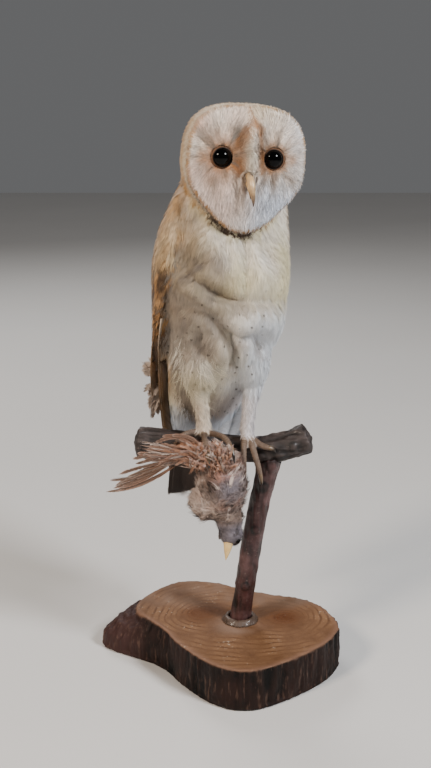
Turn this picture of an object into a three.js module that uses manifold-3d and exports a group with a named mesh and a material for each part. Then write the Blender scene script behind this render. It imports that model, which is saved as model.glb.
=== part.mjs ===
// Taxidermy barn owl on a forked branch and a sawn log slab, with the finch that it holds.
// Millimetres, +Z up. The origin is the middle of the slab's flat underside. The camera side of the
// mount is -Y, and +X runs along the perch towards its short stub.
import * as THREE from "three";
import { mergeVertices } from "three/addons/utils/BufferGeometryUtils.js";
import Module from "manifold-3d";

const wasm = await Module();
wasm.setup();

// ---------------------------------------------------------------- driving dimensions
const clearance = 0.35; // space kept between neighbouring solids
const slabThickness = 35;
const owlYaw = THREE.MathUtils.degToRad(25); // the body faces right of -Y
const faceYaw = THREE.MathUtils.degToRad(12); // the head turns part of the way back
const owlAxis = new THREE.Vector3(4, 5, 0); // where the upright body axis meets the floor
const headRoll = THREE.MathUtils.degToRad(3); // its left side hangs a little
const headCentre = new THREE.Vector3(15, 3, 415.5);
const discHalfWidth = 46.2;
const discHalfHeight = 47.5;
const eyeRadius = 7.9; // of glass eyes that show 15 mm across
const eyeSpread = 19.6; // from the face's midline
const postRadius = 8.6;
const perchRadius = 10.5; // where the feet stand
const toeRadius = 2.9;

// ---------------------------------------------------------------- materials
function finish(name, color, roughness, metalness = 0) {
  return new THREE.MeshStandardMaterial({ name, color, roughness, metalness });
}
const materials = {
  white: finish("white_plumage", 0xe6dfd0, 0.9),
  buff: finish("buff_plumage", 0xb98b5a, 0.9),
  toe: finish("toe_skin", 0xc9a983, 0.7),
  horn: finish("horn", 0xcdb083, 0.4),
  claw: finish("claw_horn", 0x6b5540, 0.35),
  eye: finish("eye_glass", 0x0a0808, 0.05),
  finch: finish("finch_plumage", 0x9a7455, 0.9),
  bark: finish("bark", 0x4d352c, 0.85),
  sawn: finish("sawn_wood", 0xb07a4a, 0.6),
  putty: finish("putty", 0xa89c92, 0.6),
};

// ---------------------------------------------------------------- solids from rings and curves
const vec = (x, y, z) => new THREE.Vector3(x, y, z);

// A closed solid of a geometry whose faces all point out, or all point in.
function solidOf(geometry) {
  const bare = geometry.index ? geometry.toNonIndexed() : geometry.clone();
  bare.deleteAttribute("normal");
  bare.deleteAttribute("uv");
  const merged = mergeVertices(bare, 1e-4);
  const triVerts = new Uint32Array(merged.index.array);
  const vertProperties = merged.attributes.position.array;
  const make = () => new wasm.Manifold(new wasm.Mesh({ numProp: 3, vertProperties, triVerts }));
  const solid = make();
  if (solid.volume() > 0) return solid;
  for (let i = 0; i < triVerts.length; i += 3) {
    [triVerts[i + 1], triVerts[i + 2]] = [triVerts[i + 2], triVerts[i + 1]];
  }
  return make();
}

// The surface over a row of closed rings with the same number of points, and a point at each end.
function skinOver(rings, first, last) {
  const sides = rings[0].length;
  const points = [first, ...rings.flat(), last];
  const end = points.length - 1;
  const index = [];
  for (let i = 0; i < sides; i++) {
    const j = (i + 1) % sides;
    index.push(0, 1 + j, 1 + i);
    for (let r = 0; r + 1 < rings.length; r++) {
      const [a, b] = [1 + r * sides + i, 1 + r * sides + j];
      const [c, d] = [a + sides, b + sides];
      index.push(a, b, d, a, d, c);
    }
    const base = 1 + (rings.length - 1) * sides;
    index.push(end, base + i, base + j);
  }
  const geometry = new THREE.BufferGeometry().setFromPoints(points);
  geometry.setIndex(index);
  return solidOf(geometry);
}

// A loft through stations of the form { at, side, front }: a ring's centre and its two half-widths
// as vectors. grow adds to both half-widths and to the ends, for the room that a neighbour leaves.
function loft(stations, { sides = 24, steps = 20, grow = 0 } = {}) {
  const curveOf = (key) => new THREE.CatmullRomCurve3(stations.map((s) => s[key]));
  const [centres, widths, fronts] = ["at", "side", "front"].map(curveOf);
  const widen = (v) => v.clone().setLength(v.length() + grow);
  const rings = [];
  for (let i = 0; i <= steps; i++) {
    const t = i / steps;
    const [at, side, front] = [centres, widths, fronts].map((c) => c.getPoint(t));
    const [wide, deep] = [widen(side), widen(front)];
    const ring = [];
    for (let k = 0; k < sides; k++) {
      const angle = (k / sides) * 2 * Math.PI;
      const spoke = wide.clone().multiplyScalar(Math.cos(angle));
      ring.push(spoke.addScaledVector(deep, Math.sin(angle)).add(at));
    }
    rings.push(ring);
  }
  const beyond = (t) => {
    const size = Math.min(widths.getPoint(t).length(), fronts.getPoint(t).length());
    const out = centres.getTangent(t).multiplyScalar((t > 0.5 ? 1 : -1) * (0.35 * size + grow));
    return centres.getPoint(t).add(out);
  };
  return skinOver(rings, beyond(0), beyond(1));
}

// A round limb through points with a radius at each: a toe, a shank, a claw or a branch.
function limb(points, radii, options = {}) {
  const upright = options.upright ?? vec(0, 0, 1);
  const stations = points.map((at, i) => {
    const ahead = points[Math.min(i + 1, points.length - 1)].clone();
    const along = ahead.sub(points[Math.max(i - 1, 0)]).normalize();
    const side = along.clone().cross(upright).normalize();
    const front = side.clone().cross(along).normalize();
    const deep = radii[i] * (options.flat ?? 1);
    return { at, side: side.multiplyScalar(radii[i]), front: front.multiplyScalar(deep) };
  });
  return loft(stations, options);
}

// An ellipsoid, turned by the Euler angles in turn.
function ellipsoid(at, half, turn = [0, 0, 0], grow = 0, [around, down] = [20, 14]) {
  const geometry = new THREE.SphereGeometry(1, around, down);
  geometry.scale(...half.map((h) => h + grow));
  const spin = new THREE.Matrix4().makeRotationFromEuler(new THREE.Euler(...turn));
  return solidOf(geometry.applyMatrix4(spin).translate(at.x, at.y, at.z));
}

// A big block on one side of a plane, for cutting: it lies on the side that normal points to.
function halfSpace(point, normal) {
  const size = 900;
  const block = new THREE.BoxGeometry(size, size, size).translate(0, 0, size / 2);
  const turn = new THREE.Quaternion().setFromUnitVectors(vec(0, 0, 1), normal.clone().normalize());
  return solidOf(block.applyQuaternion(turn).translate(point.x, point.y, point.z));
}

// The two pieces on either side of a thin cut, the one that normal points to first.
function parted(solid, point, normal) {
  const half = normal.clone().setLength(clearance / 2);
  const ahead = halfSpace(point.clone().add(half), normal);
  const behind = halfSpace(point.clone().sub(half), normal.clone().negate());
  return [solid.intersect(ahead), solid.intersect(behind)];
}

// solid with each of the others cut away.
function without(solid, ...others) {
  return others.reduce((left, other) => left.subtract(other), solid);
}

// The largest body of a solid, in case a cut leaves a splinter.
function whole(solid) {
  return solid.decompose().sort((a, b) => b.volume() - a.volume())[0];
}

// ---------------------------------------------------------------- frames
const part = new THREE.Group();
const owl = new THREE.Group();
owl.position.copy(owlAxis);
owl.rotation.z = owlYaw;
const head = new THREE.Group();
head.position.copy(headCentre).sub(owlAxis).applyAxisAngle(vec(0, 0, 1), -owlYaw);
head.rotation.set(0, headRoll, faceYaw - owlYaw, "ZYX");
owl.add(head);
part.add(owl);
part.updateMatrixWorld(true);

// Points given in the owl's frame: x to its left, y to its back, z up from the floor.
const owlPoint = (x, y, z) => vec(x, y, z).applyMatrix4(owl.matrixWorld);
const owlDirection = (x, y, z) => vec(x, y, z).transformDirection(owl.matrixWorld);
const facePoint = (x, y, z) => vec(x, y, z).applyMatrix4(head.matrixWorld);

function addPiece(group, name, solid, material) {
  const { numProp, vertProperties, triVerts, numVert } = whole(solid).getMesh();
  const places = new Float32Array(numVert * 3);
  for (let i = 0; i < numVert; i++) {
    places.set(vertProperties.subarray(i * numProp, i * numProp + 3), i * 3);
  }
  const geometry = new THREE.BufferGeometry();
  geometry.setAttribute("position", new THREE.BufferAttribute(places, 3));
  geometry.setIndex(new THREE.BufferAttribute(triVerts, 1));
  geometry.applyMatrix4(group.matrixWorld.clone().invert());
  geometry.computeBoundingBox();
  const centre = geometry.boundingBox.getCenter(vec(0, 0, 0));
  geometry.translate(-centre.x, -centre.y, -centre.z);
  geometry.computeVertexNormals();
  const mesh = new THREE.Mesh(geometry, material);
  mesh.name = name;
  mesh.position.copy(centre);
  group.add(mesh);
}

// ---------------------------------------------------------------- log slab
// A slice through a forked log: a round lobe in front on the right, a smaller one behind on the
// left, where the bark swells out below into a root flare.
function slab() {
  const topRim = [
    [102, -10], [88, -37], [54, -68], [22, -84], [-6, -73], [-33, -40], [-47, -13], [-66, 16],
    [-69, 36], [-60, 59], [-38, 82], [-8, 82], [36, 60], [78, 44], [97, 17],
  ];
  const outline = new THREE.SplineCurve([...topRim, topRim[0]].map((p) => new THREE.Vector2(...p)));
  const rim = outline.getSpacedPoints(56).slice(0, -1);
  const [flareStart, flareRun, flareReach] = [-40, 29, 33];
  const ring = (z, share) =>
    rim.map(({ x, y }) => {
      const along = Math.max(0, flareStart - x) / flareRun;
      return vec(x - share * flareReach * along ** 1.6, y, z);
    });
  const rings = [ring(0, 1), ring(13, 0.95), ring(24, 0.62), ring(slabThickness, 0)];
  return skinOver(rings, vec(0, 0, 0), vec(0, 0, slabThickness));
}
addPiece(part, "base_slab", slab(), materials.sawn);

// ---------------------------------------------------------------- branch: post and perch
const perchLine = [
  [-66, 9, 192.5, 13.2], [-40, 7, 191, 12.4], [-8, 6, 190, 11.4], [22, 5, 188, perchRadius],
  [40, 5, 188, 12], [56, 5.5, 191, 12], [72, 7, 196.5, 12.6],
];
const perch = (grow = 0) =>
  limb(perchLine.map(([x, y, z]) => vec(x, y, z)), perchLine.map((p) => p[3]), {
    sides: 14, steps: 9, grow,
  });
const footLevel = slabThickness + clearance;
const postLine = [
  [18, 5, footLevel, 9.4], [20.5, 4.5, 55, 8.8], [26, 5, 96, 8.8],
  [33, 6, 140, postRadius], [39, 5.5, 168, 9.2], [42, 5.5, 184, 11.5],
];
function post(grow = 0) {
  const line = postLine.map(([x, y, z]) => vec(x, y, z));
  const round = limb(line, postLine.map((p) => p[3]), {
    upright: vec(0, 1, 0), sides: 14, steps: 9, grow,
  });
  const [above] = parted(round, vec(0, 0, footLevel - clearance / 2), vec(0, 0, 1));
  return above;
}
function collar() {
  const [inner, outer, height] = [9.9, 16, 4.2];
  const profile = [
    [inner, footLevel], [outer, footLevel], [outer - 1.5, footLevel + 1.6],
    [inner + 2.5, footLevel + height], [inner, footLevel + height], [inner, footLevel],
  ].map(([r, z]) => new THREE.Vector2(r, z));
  const ring = new THREE.LatheGeometry(profile, 20).rotateX(Math.PI / 2).translate(18, 5, 0);
  return without(solidOf(ring), post(clearance));
}
addPiece(part, "branch_perch", perch(), materials.bark);
addPiece(part, "branch_post", without(post(), perch(clearance)), materials.bark);
addPiece(part, "putty_collar", collar(), materials.putty);

// ---------------------------------------------------------------- trunk and neck
// Each row: height, the centre's distance to the left and to the back, half-width, half-depth.
const trunkRows = [
  [414, 8, 9, 28, 19], [404, 8, 9, 45, 29], [387, 9, 8.5, 51.5, 33], [367, 8, 6, 51.5, 36.5],
  [349, 6, 2.5, 52, 41], [330, 4, -0.5, 51.5, 45], [308, 2, 1.5, 49.5, 45.5],
  [285, 2, 7, 46.5, 43.5], [262, 1, 15, 43, 40], [242, 0, 24, 39, 35], [224, 0, 33, 35, 29],
  [207, 0, 41, 31, 22], [193, 0, 47, 27, 15], [181, 0, 51, 20, 9], [173, 0, 53, 11, 5],
];
const trunkStations = trunkRows.map(([z, left, back, wide, deep]) => ({
  at: owlPoint(left, back, z),
  side: owlDirection(1, 0, 0).multiplyScalar(wide),
  front: owlDirection(0, 1, 0).multiplyScalar(deep),
}));
const trunk = (grow = 0) => loft(trunkStations, { sides: 22, steps: 15, grow });

// ---------------------------------------------------------------- head
// The disc's outline as a distance from its middle: flat brow, straight cheeks, pointed chin.
function discReach(angle) {
  const [c, s] = [Math.cos(angle), Math.sin(angle)];
  const squareness = s > 0 ? 3.1 : 2.05;
  const round = (Math.abs(c) ** squareness + Math.abs(s) ** squareness) ** (-1 / squareness);
  const chin = s < 0 ? 1 - 0.1 * Math.sin(2 * Math.acos(Math.abs(c))) ** 2 : 1;
  return round * chin;
}
const bump = (x, z, x0, z0, wide, high) =>
  Math.exp(-(((x - x0) / wide) ** 2) - ((z - z0) / high) ** 2);

// How far the face stands in front of the head's centre at a place on the disc.
function faceReach(x, z, share) {
  const dome = 26 + 10.5 * (1 - share ** 2.2);
  const ridge = 4.5 * bump(x, z, 0, 12, 6.5, 26);
  const sockets = bump(x, z, eyeSpread, 8, 11, 11) + bump(x, z, -eyeSpread, 8, 11, 11);
  return dome + ridge - 3.2 * sockets;
}
const headBehind = 38; // from the head's centre to the back of the crown
function headSolid(grow = 0) {
  const [sides, steps] = [26, 5];
  const rings = [];
  const ringAt = (share, reach) => {
    const ring = [];
    for (let k = 0; k < sides; k++) {
      const angle = (k / sides) * 2 * Math.PI;
      const far = share * discReach(angle);
      const x = (discHalfWidth + grow) * far * Math.cos(angle);
      const z = (discHalfHeight + grow) * far * Math.sin(angle);
      ring.push(facePoint(x, reach(x, z), z));
    }
    rings.push(ring);
  };
  for (let i = 1; i <= steps; i++) {
    ringAt(i / steps, (x, z) => -faceReach(x, z, i / steps) - grow);
  }
  // Behind the rim the head swells a little, then rounds off.
  const hindRows = [[1.03, -15], [1.03, 0], [0.97, 13], [0.84, 24], [0.6, 32.5]];
  for (const [share, back] of hindRows) {
    ringAt(share, () => back + grow);
  }
  const nose = facePoint(0, -faceReach(0, 0, 0) - grow, 0);
  return skinOver(rings, nose, facePoint(0, headBehind + grow, 0));
}
const eyeAt = (side) => facePoint(side * eyeSpread, -27.5, 8.5);
const eyeBall = [eyeRadius, eyeRadius, eyeRadius];
const eye = (side, grow = 0) => ellipsoid(eyeAt(side), eyeBall, [0, 0, 0], grow, [14, 10]);

// The bill hangs from the ridge between the eyes and hooks down.
const billRow = (rows, grow, sides) =>
  limb(rows.map(([y, z]) => facePoint(0, y, z)), rows.map((r) => r[2]), {
    upright: owlDirection(0, 0, 1), sides, steps: 6, grow, flat: 1.15,
  });
// Each row: distance from the head's centre to the front, height over it, radius.
const upperBillRows = [
  [-33, -5, 4.2], [-39.5, -8, 4], [-43.8, -13.5, 3.1], [-44.8, -19.5, 1.9], [-43.2, -25, 0.6],
];
const lowerBillRows = [[-32, -12, 3], [-37, -15.5, 2.5], [-40, -19, 1.6], [-40.6, -21.8, 0.7]];
const upperBill = (grow = 0) => billRow(upperBillRows, grow, 12);
const lowerBill = (grow = 0) => billRow(lowerBillRows, grow, 10);

const bills = [upperBill(clearance), lowerBill(clearance)];
const eyes = [eye(1, clearance), eye(-1, clearance)];
const faceFront = facePoint(0, -1, 0).sub(headCentre);
const [faceSolid, skull] = parted(headSolid(), facePoint(0, -21, 0), faceFront);
addPiece(head, "facial_disc", without(faceSolid, ...eyes, ...bills), materials.white);
addPiece(head, "head", without(skull, ...eyes, ...bills), materials.buff);
addPiece(head, "eye_left", eye(1), materials.eye);
addPiece(head, "eye_right", eye(-1), materials.eye);
addPiece(head, "bill_upper", upperBill(), materials.horn);
addPiece(head, "bill_lower", without(lowerBill(), bills[0]), materials.horn);

// ---------------------------------------------------------------- wings
// A folded wing lies along the flank and over the back, and its tip passes the tail.
// Each row: distance out, distance back, height, half-chord, half-thickness, chord's turn inwards.
const wingRows = [
  [37, 4, 398, 5, 3.5, 0], [42, 7, 380, 12, 6, 0.05], [45, 11, 359, 19.5, 8.5, 0.12],
  [46, 19, 335, 26, 9, 0.28],
  [41.5, 29, 305, 30, 9, 0.5], [36, 38, 278, 29, 8, 0.68], [30, 46, 250, 26, 7, 0.82],
  [23, 54, 215, 22, 5.6, 0.97], [17, 61, 180, 17, 4, 1.1], [13, 66, 150, 11, 2.6, 1.2],
  [10, 69, 128, 4.5, 1.4, 1.3],
];
function wing(side, grow = 0) {
  const stations = wingRows.map(([out, back, z, chord, thick, turn]) => ({
    at: owlPoint(side * out, back, z),
    side: owlDirection(-side * Math.sin(turn), Math.cos(turn), 0).multiplyScalar(chord),
    front: owlDirection(side * Math.cos(turn), Math.sin(turn), 0).multiplyScalar(thick),
  }));
  return loft(stations, { sides: 12, steps: 13, grow });
}
const wingRight = wing(-1);
const wingLeft = without(wing(1), wing(-1, clearance));
const bothWings = [wing(-1, clearance), wing(1, clearance)];

// ---------------------------------------------------------------- tail
const tailRows = [
  [42, 238, 20, 8], [45, 215, 24, 7], [50, 185, 26, 5], [56, 155, 29, 3.4], [61, 131, 29, 1.6],
];
function tail(grow = 0) {
  const stations = tailRows.map(([back, z, wide, thick]) => ({
    at: owlPoint(0, back, z),
    side: owlDirection(1, 0, 0).multiplyScalar(wide),
    front: owlDirection(0, 1, 0.2).multiplyScalar(thick),
  }));
  return loft(stations, { sides: 14, steps: 6, grow });
}

// ---------------------------------------------------------------- legs
const legs = {
  right: { hip: vec(-13, 0, 286), heel: vec(-16, -5, 246), ankle: vec(-12, -6, 207) },
  left: { hip: vec(24, 9, 288), heel: vec(27, 3, 246), ankle: vec(22, -2, 204) },
};
function thigh({ hip, heel }, grow = 0) {
  const middle = hip.clone().lerp(heel, 0.5).add(vec(0, -5, 0));
  const low = hip.clone().lerp(heel, 1.12);
  return limb([hip, middle, heel, low], [17, 17.5, 12.5, 8], {
    upright: vec(0, 1, 0), sides: 12, steps: 6, grow,
  });
}
function shank({ heel, ankle }, grow = 0) {
  const knee = heel.clone().add(vec(0, 0, -3));
  const slim = heel.clone().lerp(ankle, 0.6);
  return limb([knee, slim, ankle], [7.6, 5.2, 5.6], {
    upright: vec(0, 1, 0), sides: 12, steps: 5, grow,
  });
}

// Each digit: the points of the toe's line from its pad, then two more along its claw.
const toes = {
  left_inner: [
    [20.5, -8.5, 201], [19.5, -14.5, 195], [19.5, -16.5, 184], [20, -15, 175],
    [20.5, -12.5, 168], [21, -7.5, 164.5],
  ],
  left_middle: [
    [24.5, -8, 200.5], [27, -13.5, 194.5], [30.5, -15.5, 183], [33, -14.5, 173],
    [34, -12.5, 165.5], [34, -8, 161],
  ],
  left_outer: [
    [27.5, -6, 199.8], [31.5, -9.5, 197.2], [36, -10.5, 195.2], [39.5, -10.5, 194],
    [43.5, -10.2, 192.4], [45.5, -9.6, 189.5],
  ],
  left_hind: [
    [22, 3, 203.6], [21.5, 9, 203.2], [21, 15.5, 200], [21, 19.8, 193],
    [21, 20, 186.5], [21, 17.5, 181],
  ],
  right_inner: [
    [-8, -9.5, 205.5], [-2, -15, 206.5], [4, -22, 206], [9, -29.5, 201.5],
    [11, -34.5, 195.5], [12, -36.5, 189.5],
  ],
  right_middle: [
    [-12, -12, 205.5], [-12, -20, 206], [-11, -28, 204], [-9.5, -34, 198],
    [-8.5, -37, 191], [-8, -36.5, 185],
  ],
  right_outer: [
    [-16.5, -8, 206], [-23, -10.5, 206.5], [-29, -13.5, 205], [-34, -16, 200],
    [-36.5, -17.5, 194], [-37, -17.5, 188],
  ],
  right_hind: [
    [-12, 0, 206.6], [-12, 6.5, 206.8], [-12, 13, 204.6], [-12, 18.2, 199],
    [-12, 20.6, 192], [-12, 19, 186],
  ],
};
const pointsOf = (rows) => rows.map(([x, y, z]) => vec(x, y, z));
const toeUpright = vec(0.3, 0.2, 0.1); // no toe runs along this direction
const toe = (line, grow = 0) =>
  limb(pointsOf(line.slice(0, 4)), [1.1, 1, 0.95, 0.72].map((k) => k * toeRadius), {
    sides: 8, steps: 5, grow, upright: toeUpright,
  });
const claw = (line, grow = 0) =>
  limb(pointsOf(line.slice(3)), [2.1, 1.6, 0.4], {
    sides: 6, steps: 4, grow, upright: toeUpright,
  });
const toeNames = Object.keys(toes);

// ---------------------------------------------------------------- the finch
// It hangs head down in front of the perch, with one wing spread to the left.
function finch() {
  const round = [12, 8];
  const mass = (at, half, turn) => ellipsoid(vec(...at), half, turn, 0, round);
  const body = mass([2, -24, 167], [21, 15, 33], [0, 0.1, 0]);
  const belly = mass([-10, -21, 153], [14, 12, 18], [0, 0.4, 0]);
  const rump = mass([-8, -22, 190], [18, 12, 13]);
  const nape = mass([8, -24, 139], [12, 11, 17], [0, -0.1, 0]);
  const crown = mass([9.5, -25, 126.5], [10.5, 9.5, 11.5]);
  const billLine = [vec(7, -29, 119), vec(5.5, -31, 112), vec(4.5, -32, 105.5)];
  const bill = limb(billLine, [4.6, 3.1, 0.5], { sides: 10, steps: 4, upright: vec(0, 1, 0) });
  // A feather group: a flat taper from the shoulder to its tips.
  const fan = (from, to, wide, thick) => {
    const along = to.clone().sub(from).normalize();
    const across = vec(0, 1, 0).cross(along).normalize();
    const rows = [[0, wide], [0.5, wide * 0.95], [0.85, wide * 0.8], [1, wide * 0.35]];
    return loft(
      rows.map(([t, half]) => ({
        at: from.clone().lerp(to, t),
        side: across.clone().multiplyScalar(half),
        front: vec(0, thick * (1 - 0.6 * t), 0),
      })),
      { sides: 10, steps: 4 },
    );
  };
  const upperFan = fan(vec(-14, -21, 199), vec(-60, -19, 197), 8.5, 4);
  const lowerFan = fan(vec(-14, -22, 192), vec(-83, -22, 166), 9.5, 4.5);
  return [belly, rump, nape, crown, bill, upperFan, lowerFan].reduce((a, b) => a.add(b), body);
}

// ---------------------------------------------------------------- the owl's flesh, parted
const grownThighs = [thigh(legs.right, clearance), thigh(legs.left, clearance)];
const grownShanks = [shank(legs.right, clearance), shank(legs.left, clearance)];
const grownLegs = [...grownThighs, ...grownShanks];
const body = without(trunk(), headSolid(clearance), ...bothWings, ...grownLegs);
const [neckSolid, below] = parted(body, owlPoint(0, 0, 358), vec(0, 0, 1));
const [rearward, frontward] = parted(below, owlPoint(0, 20, 0), owlDirection(0, 1, 0));
const [chest, belly] = parted(frontward, owlPoint(0, 0, 292), owlDirection(0, 0.25, 1));
addPiece(owl, "neck", neckSolid, materials.white);
addPiece(owl, "back", rearward, materials.buff);
addPiece(owl, "breast", chest, materials.white);
addPiece(owl, "belly", belly, materials.white);

const wingPlane = [owlPoint(0, 40, 262), owlDirection(0, -0.35, 1)];
for (const [name, solid] of [["right", wingRight], ["left", wingLeft]]) {
  const clear = without(solid, headSolid(clearance), ...grownThighs, perch(clearance));
  const [coverts, primaries] = parted(clear, ...wingPlane);
  addPiece(owl, "wing_" + name, coverts, materials.buff);
  addPiece(owl, "primaries_" + name, primaries, materials.buff);
}
const tailNeighbours = [trunk(clearance), ...bothWings, perch(clearance)];
addPiece(owl, "tail", without(tail(), ...tailNeighbours), materials.buff);

for (const side of ["right", "left"]) {
  const leg = legs[side];
  addPiece(part, "thigh_" + side, without(thigh(leg), shank(leg, clearance)), materials.white);
  const clearShank = without(shank(leg), perch(clearance));
  addPiece(part, "shank_" + side, clearShank, materials.white);
}
const footNeighbours = [perch(clearance), post(clearance), ...grownShanks];
toeNames.forEach((name, i) => {
  const earlier = toeNames.slice(0, i).map((other) => toe(toes[other], clearance));
  const digit = without(toe(toes[name]), ...footNeighbours, ...earlier);
  addPiece(part, "toe_" + name, digit, materials.toe);
  const nail = without(claw(toes[name]), toe(toes[name], clearance), ...footNeighbours);
  addPiece(part, "claw_" + name, nail, materials.claw);
});
const grip = toeNames.flatMap((name) => [toe(toes[name], clearance), claw(toes[name], clearance)]);
addPiece(part, "finch", without(finch(), ...footNeighbours, ...grip), materials.finch);

export default part;
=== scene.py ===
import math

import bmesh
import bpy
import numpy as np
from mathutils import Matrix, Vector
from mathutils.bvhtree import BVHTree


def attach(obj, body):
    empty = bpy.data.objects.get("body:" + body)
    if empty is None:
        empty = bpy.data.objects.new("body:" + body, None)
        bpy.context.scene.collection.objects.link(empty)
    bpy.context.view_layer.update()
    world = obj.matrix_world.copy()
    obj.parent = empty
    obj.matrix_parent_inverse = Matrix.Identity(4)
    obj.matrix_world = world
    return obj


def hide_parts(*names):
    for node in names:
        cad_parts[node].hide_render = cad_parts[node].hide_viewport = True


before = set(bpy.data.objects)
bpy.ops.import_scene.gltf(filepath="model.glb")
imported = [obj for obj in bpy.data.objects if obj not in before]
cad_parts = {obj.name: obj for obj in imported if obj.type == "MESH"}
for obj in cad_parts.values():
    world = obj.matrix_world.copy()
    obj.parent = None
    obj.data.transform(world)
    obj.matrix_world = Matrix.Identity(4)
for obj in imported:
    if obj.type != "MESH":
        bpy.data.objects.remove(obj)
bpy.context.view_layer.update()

# %% [markdown]
# # A mounted barn owl on a log slab
#
# The object is a museum mount: a stuffed barn owl on a branch, with a dead finch in its right foot. The
# frame loaded above holds the plain solids of the same mount, in metres, and the pieces made here are laid
# over them. Almost everything that shows is feather, so most of this lesson grows feathers as real
# geometry: thin tapered blades, rooted in the skin and laid along it like shingles.

MM = 0.001

# %% [markdown]
# ## Frames of the body and of the face
#
# The body faces 25 degrees to the right of the stand's front, and the head is turned part of the way back
# and tilts a little. Feathers are easiest to comb in the bird's own directions, so two small frames turn
# places in millimetres into the owl's (left, back, up) and into the face's, and back again.

# %% Body frame and face frame
OWL_YAW = math.radians(25)
FACE_YAW = math.radians(12)
HEAD_ROLL = math.radians(3)
OWL_AXIS = np.array([4.0, 5.0, 0.0])
HEAD_CENTRE = np.array([15.0, 3.0, 415.5])
EYE_SPREAD = 19.6  # from the middle of the face to each eye
EYE_HEIGHT = 8.5
EYE_RADIUS = 7.9
SOCKET_RADIUS = 7.2  # of the opening between the lids and the feathers


def turned_about_z(angle):
    c, s = math.cos(angle), math.sin(angle)
    return np.array([[c, -s, 0], [s, c, 0], [0, 0, 1]])


def turned_about_y(angle):
    c, s = math.cos(angle), math.sin(angle)
    return np.array([[c, 0, s], [0, 1, 0], [-s, 0, c]])


BODY_TURN = turned_about_z(OWL_YAW)
FACE_TURN = turned_about_z(FACE_YAW) @ turned_about_y(HEAD_ROLL)


def to_body(points):
    return (points - OWL_AXIS) @ BODY_TURN


def from_body(points):
    return points @ BODY_TURN.T + OWL_AXIS


def to_face(points):
    return (points - HEAD_CENTRE) @ FACE_TURN


def from_face(points):
    return points @ FACE_TURN.T + HEAD_CENTRE


# %% [markdown]
# ## Small helpers for numbers and meshes
#
# Every natural surface needs smooth random variation. A value noise gives it: random numbers on a grid,
# blended between the grid's corners. It mixes its own integers, so that each run grows the same bird.

# %% Smooth noise, and unit vectors
# Large odd numbers scramble a cell's place and the seed until no pattern is left.
PLACE_MIX = np.array([374761393, 668265263, 2147483647])
SEED_MIX, LAST_MIX = 974711, 1274126177


def lattice(cells, seed):
    mixed = cells @ PLACE_MIX + seed * SEED_MIX
    mixed = (mixed ^ (mixed >> 13)) * LAST_MIX
    return ((mixed ^ (mixed >> 16)) & 0xFFFF) / 0xFFFF


def noise(points, size, seed=0):
    """Smooth noise from -1 to 1 at each point, with blobs about `size` across."""
    place = np.asarray(points, float) / size
    cell = np.floor(place).astype(np.int64)
    part = place - cell
    part = part * part * (3 - 2 * part)
    total = 0
    for corner in np.ndindex(2, 2, 2):
        corner = np.array(corner)
        weight = np.prod(np.where(corner, part, 1 - part), axis=-1)
        total = total + weight * lattice(cell + corner, seed)
    return total * 2 - 1


def unit(vectors):
    return vectors / np.maximum(np.linalg.norm(vectors, axis=-1, keepdims=True), 1e-9)


def ramp(value, low, high):
    """0 below low, 1 above high, and smooth between them."""
    share = np.clip((value - low) / (high - low), 0, 1)
    return share * share * (3 - 2 * share)


def bell(value, centre, width):
    """1 at the centre, and less to both sides of it."""
    return np.exp(-(((value - centre) / width) ** 2))


def most(*values):
    """The largest of the values at each place."""
    return np.max(np.broadcast_arrays(*values), axis=0)


def columns(*values):
    """Numbers and arrays side by side, as the columns of one array."""
    return np.stack(np.broadcast_arrays(*values), axis=-1)


# %% Mesh pieces from arrays
def mesh_piece(name, points, faces, smooth=True):
    """A mesh object from points in millimetres and a list of arrays of faces, each with 3 or 4 corners."""
    mesh = bpy.data.meshes.new(name)
    sizes = np.concatenate([np.full(len(f), f.shape[1]) for f in faces])
    corners = np.concatenate([f.ravel() for f in faces]).astype(np.int32)
    mesh.vertices.add(len(points))
    mesh.vertices.foreach_set("co", (np.asarray(points) * MM).astype(np.float32).ravel())
    mesh.loops.add(len(corners))
    mesh.loops.foreach_set("vertex_index", corners)
    mesh.polygons.add(len(sizes))
    mesh.polygons.foreach_set("loop_start", (np.cumsum(sizes) - sizes).astype(np.int32))
    mesh.polygons.foreach_set("loop_total", sizes.astype(np.int32))
    mesh.polygons.foreach_set("use_smooth", np.full(len(sizes), smooth))
    mesh.update(calc_edges=True)
    mesh.validate()
    piece = bpy.data.objects.new(name, mesh)
    bpy.context.scene.collection.objects.link(piece)
    return piece


def give(piece, name, values):
    """Stores one number, vector or colour for each vertex."""
    kind = {1: "FLOAT", 3: "FLOAT_VECTOR", 4: "FLOAT_COLOR"}[values.shape[1] if values.ndim > 1 else 1]
    field = {"FLOAT": "value", "FLOAT_VECTOR": "vector", "FLOAT_COLOR": "color"}[kind]
    layer = piece.data.attributes.new(name, kind, "POINT")
    layer.data.foreach_set(field, values.astype(np.float32).ravel())


def read(rows, field, width, kind=np.float32):
    """A field of a mesh's vertices, edges or corners, as an array with a row for each."""
    found = np.empty(len(rows) * width, kind)
    rows.foreach_get(field, found)
    return found.reshape(-1, width)


def points_of(piece):
    return read(piece.data.vertices, "co", 3).astype(float) / MM


def normals_of(piece):
    return read(piece.data.vertices, "normal", 3).astype(float)


def edges_of(piece):
    return read(piece.data.edges, "vertices", 2, np.int32)


def triangles_of(piece):
    piece.data.calc_loop_triangles()
    return read(piece.data.loop_triangles, "vertices", 3, np.int32)


def move_points(piece, points):
    piece.data.vertices.foreach_set("co", (points * MM).astype(np.float32).ravel())
    piece.data.update()


def smoothed(values, edges, rounds, share=0.6):
    """Each value moved towards the mean of its neighbours, again and again."""
    count = len(values)
    near = np.bincount(edges.ravel(), minlength=count)[:, None]
    flat = values.reshape(count, -1).astype(float)
    one, two = edges.T
    for _ in range(rounds):
        sums = [np.bincount(one, row[two], count) + np.bincount(two, row[one], count) for row in flat.T]
        flat = flat + share * (np.stack(sums, axis=1) / np.maximum(near, 1) - flat)
    return flat.reshape(values.shape)


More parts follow.
